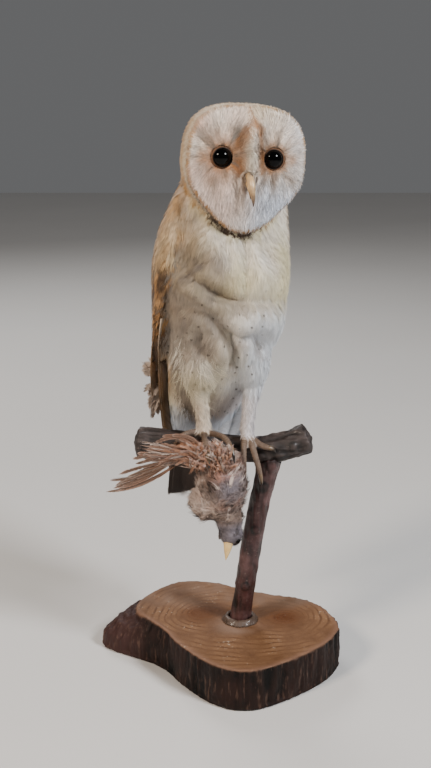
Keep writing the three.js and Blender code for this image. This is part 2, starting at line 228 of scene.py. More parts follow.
def tree_of(points, triangles):
    return BVHTree.FromPolygons(points.tolist(), triangles.tolist())


def nearest(tree, points):
    """The nearest place on a surface to each point, its normal, and the face that it is on."""
    found = [tree.find_nearest(p) for p in points.tolist()]
    places = np.array([f[0][:] for f in found])
    normals = np.array([f[1][:] for f in found])
    return places, normals, np.array([f[2] for f in found])


# %% [markdown]
# ## Fine solids from the frame's plain ones
#
# The frame's solids are right in size but made of flat facets. A voxel remesh turns a joined set of them
# into one even skin of small quads: the solids fill a grid of tiny cubes, and a new surface is drawn round
# what they fill. It closes the thin cuts between the parts. A little smoothing then takes the facets away.

# %% Remesh the frame's nodes
def node_solid(names):
    """The joined points, in mm, and triangles of some frame nodes, and which node each triangle is from."""
    points, triangles, source, start = [], [], [], 0
    for k, name in enumerate(names):
        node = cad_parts[name]
        points.append(points_of(node))
        triangles.append(triangles_of(node) + start)
        source.append(np.full(len(triangles[-1]), k))
        start += len(points[-1])
    return np.concatenate(points), np.concatenate(triangles), np.concatenate(source)


def remeshed(name, points, triangles, voxel):
    """A new piece with one even surface round closed solids. Only its largest body is kept."""
    rough = mesh_piece("rough_" + name, points, [triangles])
    change = rough.modifiers.new("voxels", "REMESH")
    change.mode = "VOXEL"
    change.voxel_size = voxel * MM
    evaluated = rough.evaluated_get(bpy.context.evaluated_depsgraph_get())
    mesh = bpy.data.meshes.new_from_object(evaluated)
    bpy.data.objects.remove(rough)
    mesh.name = name
    mesh.polygons.foreach_set("use_smooth", np.full(len(mesh.polygons), True))
    piece = bpy.data.objects.new(name, mesh)
    bpy.context.scene.collection.objects.link(piece)
    return keep_largest(piece)


def keep_largest(piece):
    one, two = edges_of(piece).T
    group = np.arange(len(piece.data.vertices))
    while True:
        low = np.minimum(group[one], group[two])
        after = group.copy()
        np.minimum.at(after, one, low)
        np.minimum.at(after, two, low)
        after = after[after]
        if (after == group).all():
            break
        group = after
    largest = np.bincount(group).argmax()
    if (group != largest).any():
        work = bmesh.new()
        work.from_mesh(piece.data)
        work.verts.ensure_lookup_table()
        loose = [work.verts[i] for i in np.flatnonzero(group != largest)]
        bmesh.ops.delete(work, geom=loose, context="VERTS")
        work.to_mesh(piece.data)
        work.free()
    return piece


# %% [markdown]
# ## The owl's skin
#
# One skin runs from the crown to the toes, under all the feathers. On the real mount it is tanned hide over
# a stuffed body. It shows only where the feathers part, so its shape matters more than its surface: every
# feather is rooted on it and follows it. It starts as the joined flesh of the frame and is drawn in by the
# depth of the coat, which is thick on the breast and almost nothing on the toes.

# %% Joined flesh, and the depth of the coat over it
SIGN = {"right": -1, "left": 1}
SIDES = tuple(SIGN)
TOES = [f"toe_{side}_{which}" for side in SIDES for which in ("inner", "middle", "outer", "hind")]
TRUNK = ("neck", "breast", "belly")
WINGS = ("wing_right", "wing_left")
LIMB_DEPTH = {"wing": 2.6, "thigh": 2.4, "shank": -0.3}
COAT_DEPTH = {
    **{"head": 3.2, "facial_disc": 2.2, "neck": 4.4, "breast": 4.4, "back": 3.6, "belly": 4.4},
    **{f"{limb}_{side}": depth for limb, depth in LIMB_DEPTH.items() for side in SIDES},
    **{name: 0.6 for name in TOES},
}
# The flesh where the toes meet, two balls to a foot: place and radius in mm.
FOOT_JOINTS = [
    ((22, -5.5, 202.5), 4.4),
    ((25.5, -4.8, 201.6), 3.8),
    ((-12, -8.5, 206), 4.4),
    ((-11.5, -2.5, 206.5), 4.2),
]


def ball(centre, radius):
    work = bmesh.new()
    bmesh.ops.create_icosphere(work, subdivisions=2, radius=radius)
    points = np.array([vertex.co[:] for vertex in work.verts]) + centre
    triangles = np.array([[vertex.index for vertex in face.verts] for face in work.faces])
    work.free()
    return points, triangles


FLESH = list(COAT_DEPTH)
flesh_points, flesh_triangles, flesh_source = node_solid(FLESH)
flesh_tree = tree_of(flesh_points, flesh_triangles)
joined_points, joined_triangles = flesh_points, flesh_triangles
for centre, radius in FOOT_JOINTS:
    more_points, more_triangles = ball(centre, radius)
    joined_triangles = np.concatenate([joined_triangles, more_triangles + len(joined_points)])
    joined_points = np.concatenate([joined_points, more_points])
skin = remeshed("owl_skin", joined_points, joined_triangles, 1.3)
print("skin:", len(skin.data.vertices), "points")


# %% Creases of the breast
def crease(place, start, end, width):
    """1 on a line across the breast, and less beside it. Places are (left, up) in the owl's frame."""
    start, end = np.array(start, float), np.array(end, float)
    along = end - start
    share = np.clip(((place - start) @ along) / (along @ along), 0, 1)
    gap = np.linalg.norm(place - start - share[:, None] * along, axis=1)
    return bell(gap, 0, width) * (0.35 + 0.65 * np.sin(np.pi * np.clip(share, 0.08, 0.92)))


# The stuffed breast has slumped into soft rolls. Each crease is a line, its width and its depth in mm.
CREASES = [
    ((-27, 384), (-37, 365), 4.5, 5.04),
    ((-37, 365), (-47, 340), 4.5, 7),
    ((-43, 341), (-24, 357), 5, 6.16),
    ((-15, 363), (-11, 346), 5.625, 4.48),
    ((-43, 336), (-26, 324), 5.25, 7.84),
    ((-29, 325), (-4, 316), 5.25, 11.2),
    ((-6, 317), (34, 314), 6.875, 6.16),
    ((4, 362), (-1, 326), 4.5, 3.92),
    ((22, 360), (30, 330), 7.5, 2.8),
    ((-38, 311), (-24, 301), 5.25, 7.28),
    ((-24, 302), (-8, 284), 4.5, 10.64),
    ((-9, 286), (-1, 262), 4.25, 11.2),
    ((-8, 284), (8, 288), 4, 7),
    ((-34, 296), (-30, 270), 5.625, 6.44),
    ((8, 288), (24, 282), 5.625, 4.2),
    ((14, 284), (20, 262), 5.25, 5.88),
]

# The rolls between them swell: the middle of each, its half-width and half-height, and how far it swells.
ROLLS = [
    (-19, 354, 15, 11, 4.08),
    (-37, 326, 11, 10, 5.1),
    (-32, 304, 10, 9, 5.1),
    (5, 299, 20, 12, 5.1),
    (10, 337, 19, 15, 3.06),
    (-14, 268, 9, 14, 5.1),
    (9, 268, 8, 12, 4.08),
    (26, 296, 12, 14, 2.72),
]


def roll_depth(points):
    """How deep each place of the breast lies under an even chest, in mm."""
    body = to_body(points)
    front = ramp(-body[:, 1], -6, 14)
    flat = body[:, [0, 2]] + 1.5 * columns(noise(body, 9, 3), noise(body, 9, 4))
    depth = sum(deep * crease(flat, start, end, width) for start, end, width, deep in CREASES)
    for left, up, wide, high, swell in ROLLS:
        depth = depth - swell * bell(flat[:, 0], left, wide) * bell(flat[:, 1], up, high)
    wavy = 1.2 * noise(body, 24, 5) + 0.9 * noise(body, 11, 6)
    return front * (depth + wavy)


# %% [markdown]
# The face needs relief too. Between the eyes stands a ridge of stiff feathers that runs down on to the
# bill, with a gutter on each side of it. Each half of the face is a shallow bowl, and the rim stands up
# round it.

# %% Relief of the face
RIM_SQUARENESS = (3.1, 2.05)  # of the brow and of the cheeks
DISC_HALF = (46.2, 47.5)


def disc_share(face):
    """0 in the middle of the facial disc, 1 on its rim."""
    x, z = face[:, 0] / DISC_HALF[0], face[:, 2] / DISC_HALF[1]
    angle = np.arctan2(z, x)
    c, s = np.abs(np.cos(angle)), np.abs(np.sin(angle))
    power = np.where(z > 0, *RIM_SQUARENESS)
    reach = (c**power + s**power) ** (-1 / power)
    chin = np.where(z < 0, 1 - 0.1 * np.sin(2 * np.arccos(np.clip(c, 0, 1))) ** 2, 1)
    return np.hypot(x, z) / (reach * chin)


def from_eye(points):
    """How far left of the nearer eye and how far above it each place is, and the side that the eye is on."""
    x, _, z = to_face(points).T
    side = np.where(x > 0, 1.0, -1.0)
    return x - side * EYE_SPREAD, z - EYE_HEIGHT, side


def eye_gap(points):
    """How far each place is from the edge of the nearer eye."""
    across, above, _ = from_eye(points)
    return np.hypot(across, above) - SOCKET_RADIUS


def eye_rays(points):
    """The direction on the face from the nearer eye to each place, and the side that the eye is on."""
    across, above, side = from_eye(points)
    return unit(columns(across, 0, above)), side


def ridge_side(face):
    """How far each place is to the left of the ridge between the eyes, in mm."""
    return face[:, 0] - np.interp(face[:, 2], [-8, 5, 20, 34, 42], [0.3, 0.3, 1.3, 3.5, 5.0])


def face_relief(points):
    """How far forward each place of the face is moved, in mm."""
    face = to_face(points)
    x, z = face[:, 0], face[:, 2]
    ridge_x = ridge_side(face)
    ridge = 3.2 * bell(ridge_x, 0, 6.2) * ramp(z, -16, 2) * (1 - 0.8 * ramp(z, 22, 40))
    gutter = -1.8 * bell(np.abs(ridge_x), 10.5, 4.5) * bell(z, 15, 12)
    gap = eye_gap(points)
    bowl = -2.6 * bell(gap, 10, 7) - 1.6 * bell(gap, 0, 4)
    rim = 1.6 * bell(disc_share(face), 0.93, 0.08)
    cheek = 1.4 * bell(np.abs(x), 17, 9) * bell(z, -19, 9)
    return ridge + gutter + bowl + rim + cheek + 0.6 * noise(points, 9, 7)


# %% Draw the skin in
skin_points = points_of(skin)
skin_edges = edges_of(skin)
_, _, touched = nearest(flesh_tree, skin_points)
skin_region = flesh_source[touched]
depth_of = np.array([COAT_DEPTH[name] for name in FLESH])[skin_region]
is_toe = np.array([name in TOES for name in FLESH])[skin_region]
is_trunk = np.isin(skin_region, [FLESH.index(name) for name in TRUNK])
soft = smoothed(skin_points, skin_edges, 14)
keep = smoothed(np.where(is_toe, 1.0, 0.0), skin_edges, 4)[:, None]
skin_points = skin_points * keep + soft * (1 - keep)
move_points(skin, skin_points)
trunk = to_body(skin_points)
fuller = 4.2 * is_trunk * ramp(trunk[:, 0], 8, 30) * bell(trunk[:, 2], 297, 38)
rolls = smoothed(is_trunk * roll_depth(skin_points), skin_edges, 2)
depth = smoothed(depth_of - fuller, skin_edges, 6) + rolls
skin_points = skin_points - normals_of(skin) * depth[:, None]
on_disc = smoothed((skin_region == FLESH.index("facial_disc")).astype(float), skin_edges, 3)
forward = [0.0, -1.0, 0.0] @ FACE_TURN.T
skin_points = skin_points + forward * (face_relief(skin_points) * on_disc)[:, None]
inward = -0.9 * bell(eye_gap(skin_points), 0.6, 2.4) * on_disc
skin_points = skin_points + (eye_rays(skin_points)[0] @ FACE_TURN.T) * inward[:, None]
skin_points = smoothed(skin_points, skin_edges, 3) * (1 - keep) + skin_points * keep
move_points(skin, skin_points)
skin_normals = normals_of(skin)
skin_triangles = triangles_of(skin)
soft_normals = unit(smoothed(skin_normals, skin_edges, 5))
print("coat depth: %.1f to %.1f mm" % (depth.min(), depth.max()))

# %% [markdown]
# ## Markings
#
# A barn owl is white below, gold above with an ash-grey veil, and its face is white with a rust stain at
# the inner corners of the eyes. Skin and feathers have to carry the same pattern, so it is worked out once,
# as four strengths at any place on the body: gold, rust, grey and dark. The materials mix their colours by
# them.

# %% Gold, rust, grey and dark at any place
def on(region, *parts):
    """True for the places of the skin that come from these parts of the bird."""
    return np.isin(region, [FLESH.index(part) for part in parts])


def markings(points, region):
    """(gold, rust, grey, dark) for each place, from 0 to 1."""
    left, back, up = to_body(points).T
    face = to_face(points)
    x, y, z = face.T
    share = disc_share(face)
    on_disc, on_head, on_neck = on(region, "facial_disc"), on(region, "head"), on(region, "neck")
    on_trunk, on_wing, on_toe = on(region, *TRUNK), on(region, *WINGS), on(region, *TOES)
    patchy, fine, mottle = noise(points, 9, 11), noise(points, 3.2, 12), noise(points, 6, 13)

    # Gold runs over the crown, nape and back, down the sides of the neck and over the wings.
    shoulder = ramp(up, 326, 358) * ramp(np.abs(left) + 0.5 * back, 34, 52)
    gold = np.where(on_neck, ramp(back, -6, 20), 0.0) + 0.75 * shoulder * on(region, "breast")
    gold = most(gold, 0.6 * shoulder * on_neck)
    gold = np.where(on(region, "back"), ramp(back, 14, 26) * ramp(up, 232, 262), gold)
    gold = np.where(on_head, 0.34 + 0.15 * mottle + 0.6 * ramp(y, -22, -8), gold)
    edge_x = np.interp(up, [330, 346, 359, 374, 383, 400], [-51, -44.5, -38, -33.7, -27, -15])
    mantle = ramp(edge_x - left, -3, 5) * on(region, "neck", "breast") * ramp(up, 318, 334)
    gold = most(gold, mantle * (0.64 + 0.25 * mottle - 0.3 * ramp(up, 366, 384)))
    gold = np.where(on_wing, 0.7 + 0.12 * mottle + 0.2 * ramp(-up, -362, -338), gold)
    tan = ramp(-left, 12, 42) * ramp(up, 268, 310) * on_trunk * (0.6 + 0.2 * mottle)
    rim = bell(share, 1.0, 0.045) * (on_disc | on_head) * (y < -6)
    gold = most(gold, tan + 0.3 * ramp(-left, 30, 46) * on_neck, rim * (0.55 + 0.25 * fine))
    gold = np.clip(gold * (1 + 0.25 * patchy), 0, 1)

    # Rust stains the inner corners of the eyes and both sides of the ridge, most on the right side.
    heights = [-1, 3, 9, 14, 20, 26, 31]
    band_x = np.interp(z, heights, [-8.5, -9.2, -9.7, -10.6, -9.4, -5.0, 0.5])
    band_half = np.interp(z, heights, [4.8, 5.8, 5.2, 5.6, 6.8, 6.2, 4.4])
    band = bell(x, band_x, band_half) * ramp(z, -8, 0) * ramp(-z, -36, -29)
    heights = [0, 8, 14, 18, 28, 35, 43]
    far_x = np.interp(z, heights, [11, 10.3, 10.4, 9.0, 8.7, 3.4, -3.0])
    far_half = np.interp(z, heights, [4.4, 4.4, 4.6, 3.4, 3.2, 2.6, 2.0])
    far_band = bell(x, far_x, far_half) * ramp(z, -6, 1) * ramp(-z, -45, -40)
    gap = eye_gap(points)
    rays, side = eye_rays(points)
    streaks = noise(columns(4.5 * rays[:, 0], 4.5 * rays[:, 2], 0.07 * gap + 9 * side), 1, 14)
    streaks = streaks + 0.5 * noise(columns(11 * rays[:, 0], 11 * rays[:, 2], 0.1 * gap + 9 * side), 1, 15)
    rust = most(
        band * (0.7 + 0.24 * noise(points, 4, 17) + 0.2 * bell(z, 3, 6)),
        far_band * (0.6 + 0.3 * noise(points, 4, 18)),
        0.5 * bell(np.abs(x) - EYE_SPREAD, 12, 5) * bell(z, EYE_HEIGHT - 0.5, 5),
        0.58 * bell(gap, 0.6, 4.2),
        (0.22 + 0.34 * streaks) * bell(gap, 3, 9),
        0.3 * bell(x, -26, 5) * bell(z, -7, 4),
    )
    rust = np.clip(rust * (1 + 0.25 * fine), 0, 1) * on_disc
    crest = bell(ridge_side(face), 0, 5) * ramp(z, -8, 4) + 0.8 * bell(x, 8, 11) * ramp(z, 24, 38)
    gold = most(gold, on_disc * (1.15 * rust).clip(0, 0.9), on_disc * (0.16 + 0.1 * streaks) * crest)

    # The ash-grey veil lies in patches over the gold, and painted shade dulls the clefts between the breast's
    # rolls.
    veil = gold * ramp(noise(points, 7, 21) + 0.7 * noise(points, 2.6, 22), 0.05, 0.7)
    grey = veil * np.where(on_head | on(region, "back"), 0.6, 0.25)
    grey = np.where(on_wing, veil * (0.25 + 0.35 * ramp(-up, -352, -336)), grey)
    # Painted shade: grey and some gold in the breast's clefts, the more the deeper they are.
    crease_shade = np.clip(roll_depth(points) / 7, 0, 1) * on_trunk
    # Painted shade on the bird's right side below the shoulders, away from the key lamp, in grey and some
    # gold.
    side_shade = ramp(-left, 1, 26) * ramp(-up, -380, -350) * np.where(on(region, "thigh_right"), 0.35, on_trunk)
    # Painted shade greys the sunken bowl round each eye and the low cheeks, and the rust bands are dulled a
    # little with grey.
    eye_shade_and_band_grey = bell(gap, 9, 6) * ramp(noise(points, 6, 23), -0.1, 0.7)
    eye_shade_and_band_grey = most(eye_shade_and_band_grey, bell(x, -25, 6) * bell(z, -7, 4) + bell(x, 27, 5) * bell(z, -9, 5))
    eye_shade_and_band_grey = most(0.45 * eye_shade_and_band_grey, 0.12 * band, 0.1 * far_band)
    # More painted shade, streaked along the rays from each eye, over each half of the face.
    streaked_eye_shade = (0.2 + 0.95 * streaks.clip(-0.25, 1)) * bell(gap, 7, 14)
    grey = most(grey, 0.6 * crease_shade, side_shade * (0.74 + 0.3 * mottle), on_disc * most(eye_shade_and_band_grey, streaked_eye_shade))
    brow = bell(gap, 2, 8) * np.where(side < 0, ramp(x, -38, -14), 0.6) * (1 - 0.5 * crest)
    gold = most(gold, 0.34 * side_shade, 0.3 * crease_shade, on_disc * (0.5 + 0.5 * streaks) * brow)
    gold = np.where(on_toe, 0.45 + 0.2 * fine, gold)
    grey = np.where(on_toe, 0.5 + 0.3 * mottle, grey)

    # Dark flecks follow the lower rim of the face, and the wing has long dark streaks.
    beads = ramp(noise(points, 1.9, 31), 0.25, 0.5)
    lower_rim = bell(share, 0.985, 0.06) * (on_head | on_neck) * ramp(-y, 15, 19) * ramp(-z, 8, 22)
    corners = most(band * bell(z, 18, 6), 0.8 * far_band * bell(z, 14, 5))
    streaked = ramp(noise(points * [1, 1, 0.22], 2.6, 32), -0.2, 0.25) * ramp(-up, -356, -340)
    wrist = ramp(noise(points, 4.5, 37), 0.1, 0.6) * bell(up, 322, 24)
    low_wing = ramp(-up, -312, -285) * (0.58 + 0.3 * mottle)
    dark = most(
        lower_rim * np.where(x < 10, 0.85, 0.35) * (0.45 + 0.55 * beads),
        0.25 * rim * beads,
        0.25 * bell(gap, -0.1, 0.9) * on_disc,
        on_disc * (0.42 * corners + (0.12 + 0.3 * streaks) * bell(gap, 1.5, 3.5)),
        on_wing * most(0.85 * streaked, 0.45 * wrist, low_wing),
        0.3 * bell(left, -47, 7) * bell(up, 361, 9) * (0.7 + 0.6 * mottle),
    )
    dark = np.where(on_toe, 0.28 + 0.2 * patchy, dark)
    rust = most(rust, 0.35 * on_wing * ramp(-up, -350, -325) * (0.7 + 0.5 * mottle))
    return columns(gold, rust, grey, np.clip(dark, 0, 1))


def washes(points, region):
    """(yellow, blue, pink) for each place, from 0 to 1: the faint cream cast of the white feathers, a
    painted cool light tint where the key lamp falls, and pink that is painted warm light on the face and the
    legs' own pink on the legs.
    """
    left, back, up = to_body(points).T
    face = to_face(points)
    x, y, z = face.T
    on_disc = on(region, "facial_disc")
    slow = noise(points, 16, 41)
    low_face = ramp(-z, -4, 22) * on_disc
    left_half = ramp(x, -8, 14)
    chest = (1 - on_disc) * (bell(up, 338, 28) * (0.55 + 0.4 * slow) + 0.3 * (0.5 + slow))
    yellow = most(
        chest + 0.5 * bell(up, 250, 22) * ramp(-left, 0, 20),
        0.3 * on_disc * bell(x, -1, 5) * bell(z, 12, 16),
        0.9 * bell(disc_share(face), 1.0, 0.06) * (y < -6) * (up > 360),
        0.5 * on_disc * bell(x, 6, 12) * ramp(z, 26, 38),
    )
    # Painted light: a cool blue tint where the key lamp falls, on the bird's left side, the lower face and
    # the plumes under the tail.
    cool_light_tint = most(
        low_face * (0.3 + 0.7 * left_half) + 0.75 * ramp(-up, -325, -298) * ramp(left, -12, 16),
        ramp(-up, -240, -215) * ramp(back, 8, 24),
        0.5 * on_disc * bell(x, 38, 9),
    )
    # Partly painted light: the pink on the right half of the face is the warm fill lamp's colour, and the
    # pink low on the legs is their own.
    pink_and_warm_light = on_disc * (1 - 0.7 * left_half) * (0.45 + 0.4 * slow) * (1 - 0.25 * low_face)
    pink_and_warm_light = pink_and_warm_light * (1 - bell(x, -2, 9) * bell(z, 14, 18))
    pink_and_warm_light = most(pink_and_warm_light, 0.25 * ramp(-up, -250, -228) * (back < 22))
    return columns(yellow, cool_light_tint, pink_and_warm_light).clip(0, 1)


def spotting(points, region):
    """How strong small dark spots may be at each place: only breast, belly and thighs have them."""
    low = ramp(-to_body(points)[:, 2], -338, -318)
    return 0.85 * low * on(region, "breast", "belly", "thigh_right", "thigh_left")


give(skin, "tint", markings(skin_points, skin_region))
give(skin, "wash", washes(skin_points, skin_region))
print("marked:", len(skin_points), "places")

# %% [markdown]
# ## The lie of the coat
#
# Feathers overlap like roof tiles, so each one points where the next row begins: away from the bill and the
# eyes on the face, back over the crown, down the breast, the wings and the legs. These directions are only
# roughly right in space. Each feather will lay its own along the skin as it grows.

# %% Which way feathers point
ANKLE = {"right": [-12.0, -6.0, 209.0], "left": [22.0, -2.0, 206.0]}


def lie(points, region):
    left = to_body(points)[:, 0]
    x, y, z = to_face(points).T
    way = columns(0.3 * np.clip(left / 50, -1, 1), 0.22, -1.0) @ BODY_TURN.T

    low = ramp(-z, 4, 22)[:, None]
    rays = eye_rays(points)[0] + [0, -0.15, -0.12]
    rays = rays * (1 - 0.5 * low) + columns(0.012 * x, 0, -1.0) * 0.5 * low
    way = np.where(on(region, "facial_disc")[:, None], rays @ FACE_TURN.T, way)

    share = ramp(y, 4, 34)[:, None]
    over = columns(0.25 * x / 46, 1.0, -0.5) * (1 - share) + share * [0, 0.2, -1.0]
    way = np.where(on(region, "head")[:, None], over @ FACE_TURN.T, way)

    for side in SIDES:
        along = unit(points - ANKLE[side]) + [0, 0, -0.3]
        toes = [toe for toe in TOES if side in toe]
        way = np.where(on(region, *toes)[:, None], along, way)
        way = np.where(on(region, "shank_" + side)[:, None], [0.0, 0.0, -1.0], way)
    return unit(way)


# %% [markdown]
# ## Growing feathers
#
# A body feather is a bundle of barbs that leave the skin close together, fan out, and end in a ragged round
# tip. Here it is a handful of thin tapered strips. First its middle line walks over the skin in short
# steps, in the lie of the coat, so that it bends with the body. Then the strips are spread across that
# line, lifted towards the tip and cupped at the sides. Hair particles would be the usual tool, but strips
# are true surfaces: they can be baked, exported and measured. The strips of one feather share a tiny patch
# of a flat map of the skin, so that a painted texture can colour each feather at its own place on the bird.

# %% Even scatter over a surface
def scatter(points, triangles, wanted, spacing, rng):
    """Places on the wanted triangles, no two nearer than the spacing there. spacing(places) is in mm."""
    corner = points[triangles[wanted]]
    area = np.linalg.norm(np.cross(corner[:, 1] - corner[:, 0], corner[:, 2] - corner[:, 0]), axis=1) / 2
    closest = spacing(corner.mean(axis=1))
    tries = rng.poisson(4.5 * area / closest**2)
    owner = np.repeat(np.arange(len(area)), tries)
    owner = rng.permutation(owner)
    a, b = rng.random((2, len(owner), 1))
    fold = a + b > 1
    a, b = np.where(fold, 1 - a, a), np.where(fold, 1 - b, b)
    tri = corner[owner]
    places = tri[:, 0] + a * (tri[:, 1] - tri[:, 0]) + b * (tri[:, 2] - tri[:, 0])
    gaps = closest[owner]
    cell_size = float(gaps.max())
    kept, cells = [], {}
    cell_of = np.floor(places / cell_size).astype(int).tolist()
    listed = places.tolist()
    steps = [(x, y, z) for x in (-1, 0, 1) for y in (-1, 0, 1) for z in (-1, 0, 1)]
    for i, (cx, cy, cz) in enumerate(cell_of):
        px, py, pz = listed[i]
        limit = gaps[i] ** 2
        if all(
            (px - qx) ** 2 + (py - qy) ** 2 + (pz - qz) ** 2 >= limit
            for dx, dy, dz in steps
            for qx, qy, qz in cells.get((cx + dx, cy + dy, cz + dz), ())
        ):
            kept.append(i)
            cells.setdefault((cx, cy, cz), []).append((px, py, pz))
    return places[kept], wanted[owner[kept]]


# %% Middle lines that walk over the skin
def walk(surface, places, faces, lengths, steps, stray, hug):
    """The middle line of each feather: rows of places and of the skin's normals along it."""
    normals = surface["face_normals"][faces]
    regions = surface["face_region"][faces]
    lines, ups = [places], [normals]
    for _ in range(steps):
        run = surface["lie"](places, regions)
        run = unit(run - (run * normals).sum(1, keepdims=True) * normals)
        side = np.cross(normals, run)
        run = run * np.cos(stray)[:, None] + side * np.sin(stray)[:, None]
        free = places + run * (lengths / steps)[:, None]
        found, normals, faces = nearest(surface["tree"], free)
        places = free + hug * (found - free)
        regions = surface["face_region"][faces]
        lines.append(places)
        ups.append(normals)
    return np.array(lines), np.array(ups)


def surface_of(points, normals, triangles, face_region, lie_of, flatten):
    """What the feathers of a skin need to know about it."""
    flat = unit(normals[triangles].mean(axis=1))
    tree = tree_of(points, triangles)
    return dict(tree=tree, face_normals=flat, face_region=face_region, lie=lie_of, flatten=flatten)


# %% Barbs across the middle lines
PATCH = 0.003  # the size of one feather's patch on the flat map of the skin
# A feather's manner, unless its style says otherwise: how far it strays from the lie and hugs the skin, how
# round and ragged its end is, how its barbs roll, cup, stand up and overlap, how high it starts (in mm),
# how far the light follows the roll of its barbs, and how unlike they are in colour.
MANNER = dict(
    stray=0.15, hug=0.85, round=0.35, ragged=0.2, roll=0.25, cup=0.3, ruffle=0.5, overlap=1.3, root=0.1,
    gloss=0.35, streaks=1.0,
)


def grow(name, surface, roots, faces, style, rng):
    """One coat piece. style holds the feathers' sizes in mm, for each root or for all, and their manner."""
    style = {**MANNER, **style}
    count = len(roots)
    each = {k: v(roots) if callable(v) else np.full(count, float(v)) for k, v in style["each"].items()}
    barbs, steps = style["barbs"], style["steps"]
    length = each["length"] * (1 + 0.15 * rng.standard_normal(count).clip(-1.5, 1.5))
    stray = style["stray"] * rng.standard_normal(count)
    lines, ups = walk(surface, roots, faces, length, steps, stray, style["hug"])
    runs = unit(np.gradient(lines, axis=0))
    sides = unit(np.cross(ups, runs))
    across = np.linspace(-1, 1, barbs)[None] + rng.uniform(-0.6, 0.6, (count, barbs)) / barbs
    reach = 1 - style["round"] * across**2
    reach = (reach - style["ragged"] * rng.random((count, barbs))).clip(0.3, 1)
    tilt = style["roll"] * rng.standard_normal((count, barbs)) - style["cup"] * across
    ruffle = style["ruffle"] * rng.random((count, barbs))
    waver = 0.12 * rng.standard_normal((count, barbs))
    wide = each["wide"][:, None]
    strip = style["overlap"] * wide / barbs * (0.7 + 0.6 * rng.random((count, barbs)))
    who = np.arange(count)[:, None]
    rings, shares, edges, facing = [], [], [], []
    for k in range(steps + 1):
        share = k / steps * reach
        at = share * steps
        low = np.minimum(at.astype(int), steps - 1)
        part = (at - low)[..., None]
        mix = lambda rows: rows[low, who] * (1 - part) + rows[low + 1, who] * part
        middle, up, side = mix(lines), unit(mix(ups)), unit(mix(sides))
        spread = 0.3 + 0.7 * np.sin(np.pi / 2 * np.clip(share * 1.5, 0, 1))
        off = wide * (across * spread + waver * share**2)
        rise = style["root"] + (each["lift"][:, None] + ruffle) * share**1.2
        rise = rise - style["cup"] * 0.5 * off**2 / wide
        centre = middle + side * off[..., None] + up * rise[..., None]
        edge = side * np.cos(tilt)[..., None] + up * np.sin(tilt)[..., None]
        lean = style["gloss"] * tilt[..., None]
        faced = unit(up * np.cos(lean) - side * np.sin(lean))
        taper = 1.0 if k == 0 else (1 - (k / steps) ** 2.2)
        width = (strip * taper)[..., None]
        shares.append(share)
        if k < steps:
            rings += [centre - edge * width, centre + edge * width]
            edges += [across - 0.7 / barbs, across + 0.7 / barbs]
            facing += [faced, faced]
        else:
            rings.append(centre)
            edges.append(across)
            facing.append(faced)
    vertices = np.stack(rings, axis=2).reshape(-1, 3)
    per = 2 * steps + 1
    base = (np.arange(count * barbs) * per)[:, None]
    quads = np.concatenate([base + 2 * k + [1, 0, 2, 3] for k in range(steps - 1)])
    tips = base + 2 * steps - [1, 2, 0]
    piece = mesh_piece(name, vertices, [quads, tips])
    piece.data.normals_split_custom_set_from_vertices(np.stack(facing, axis=2).reshape(-1, 3).tolist())
    along = np.stack([shares[min(i // 2, steps)] for i in range(per)], axis=2).reshape(-1)
    beside = np.stack(edges, axis=2).reshape(-1)
    give(piece, "vane", columns(beside, along, np.repeat(rng.random(count), barbs * per)))
    give(piece, "strand", np.repeat(0.5 + style["streaks"] * (rng.random(count * barbs) - 0.5), per))
    for field, colouring in style["fields"].items():
        values = colouring(roots, surface["face_region"][faces])
        give(piece, field, np.repeat(values, barbs * per, axis=0))
    give(piece, "root", np.repeat(roots * MM, barbs * per, axis=0))
    patch = columns(beside * 0.5, along - 0.5) * PATCH
    lay_map(piece, np.repeat(surface["flatten"](roots), barbs * per, axis=0) + patch)
    print(f"{name}: {count} feathers, {count * barbs * (2 * steps - 1)} triangles")
    return piece


def lay_map(piece, flat_points):
    layer = piece.data.uv_layers.new(name="OFBake")
    corner = read(piece.data.loops, "vertex_index", 1, np.int32).ravel()
    layer.uv.foreach_set("vector", flat_points[corner].astype(np.float32).ravel())


def flatten_owl(points):
    """The skin unrolled round the body's upright axis: once round is the map's width."""
    left, back, up = to_body(points).T
    turn = np.arctan2(left, -(back - 0.12 * (330 - up).clip(0, 140)))
    return columns(0.5 + turn / (2 * np.pi) * 0.97, 0.02 + (up - 150) / 330)


owl_surface = surface_of(
    skin_points, soft_normals, skin_triangles, skin_region[skin_triangles[:, 0]], lie, flatten_owl
)


# %% [markdown]
# ## Feather styles
#
# The same bundle of barbs makes every kind of body feather when its numbers change. The face's feathers are
# short and fine as fur, the breast's long, soft and loose. On the back and wings the barbs hook together
# into a smooth rounded vane, so the strips overlap closely and end more evenly.

# %% Sizes and manners of the body feathers
def face_length(points):
    near_rim = ramp(disc_share(to_face(points)), 0.78, 0.98)
    return np.clip(2.4 + 0.36 * eye_gap(points), 2.2, 9.5) * (1 - 0.5 * near_rim)


def fixed(value):
    return lambda points: np.full(len(points), value)


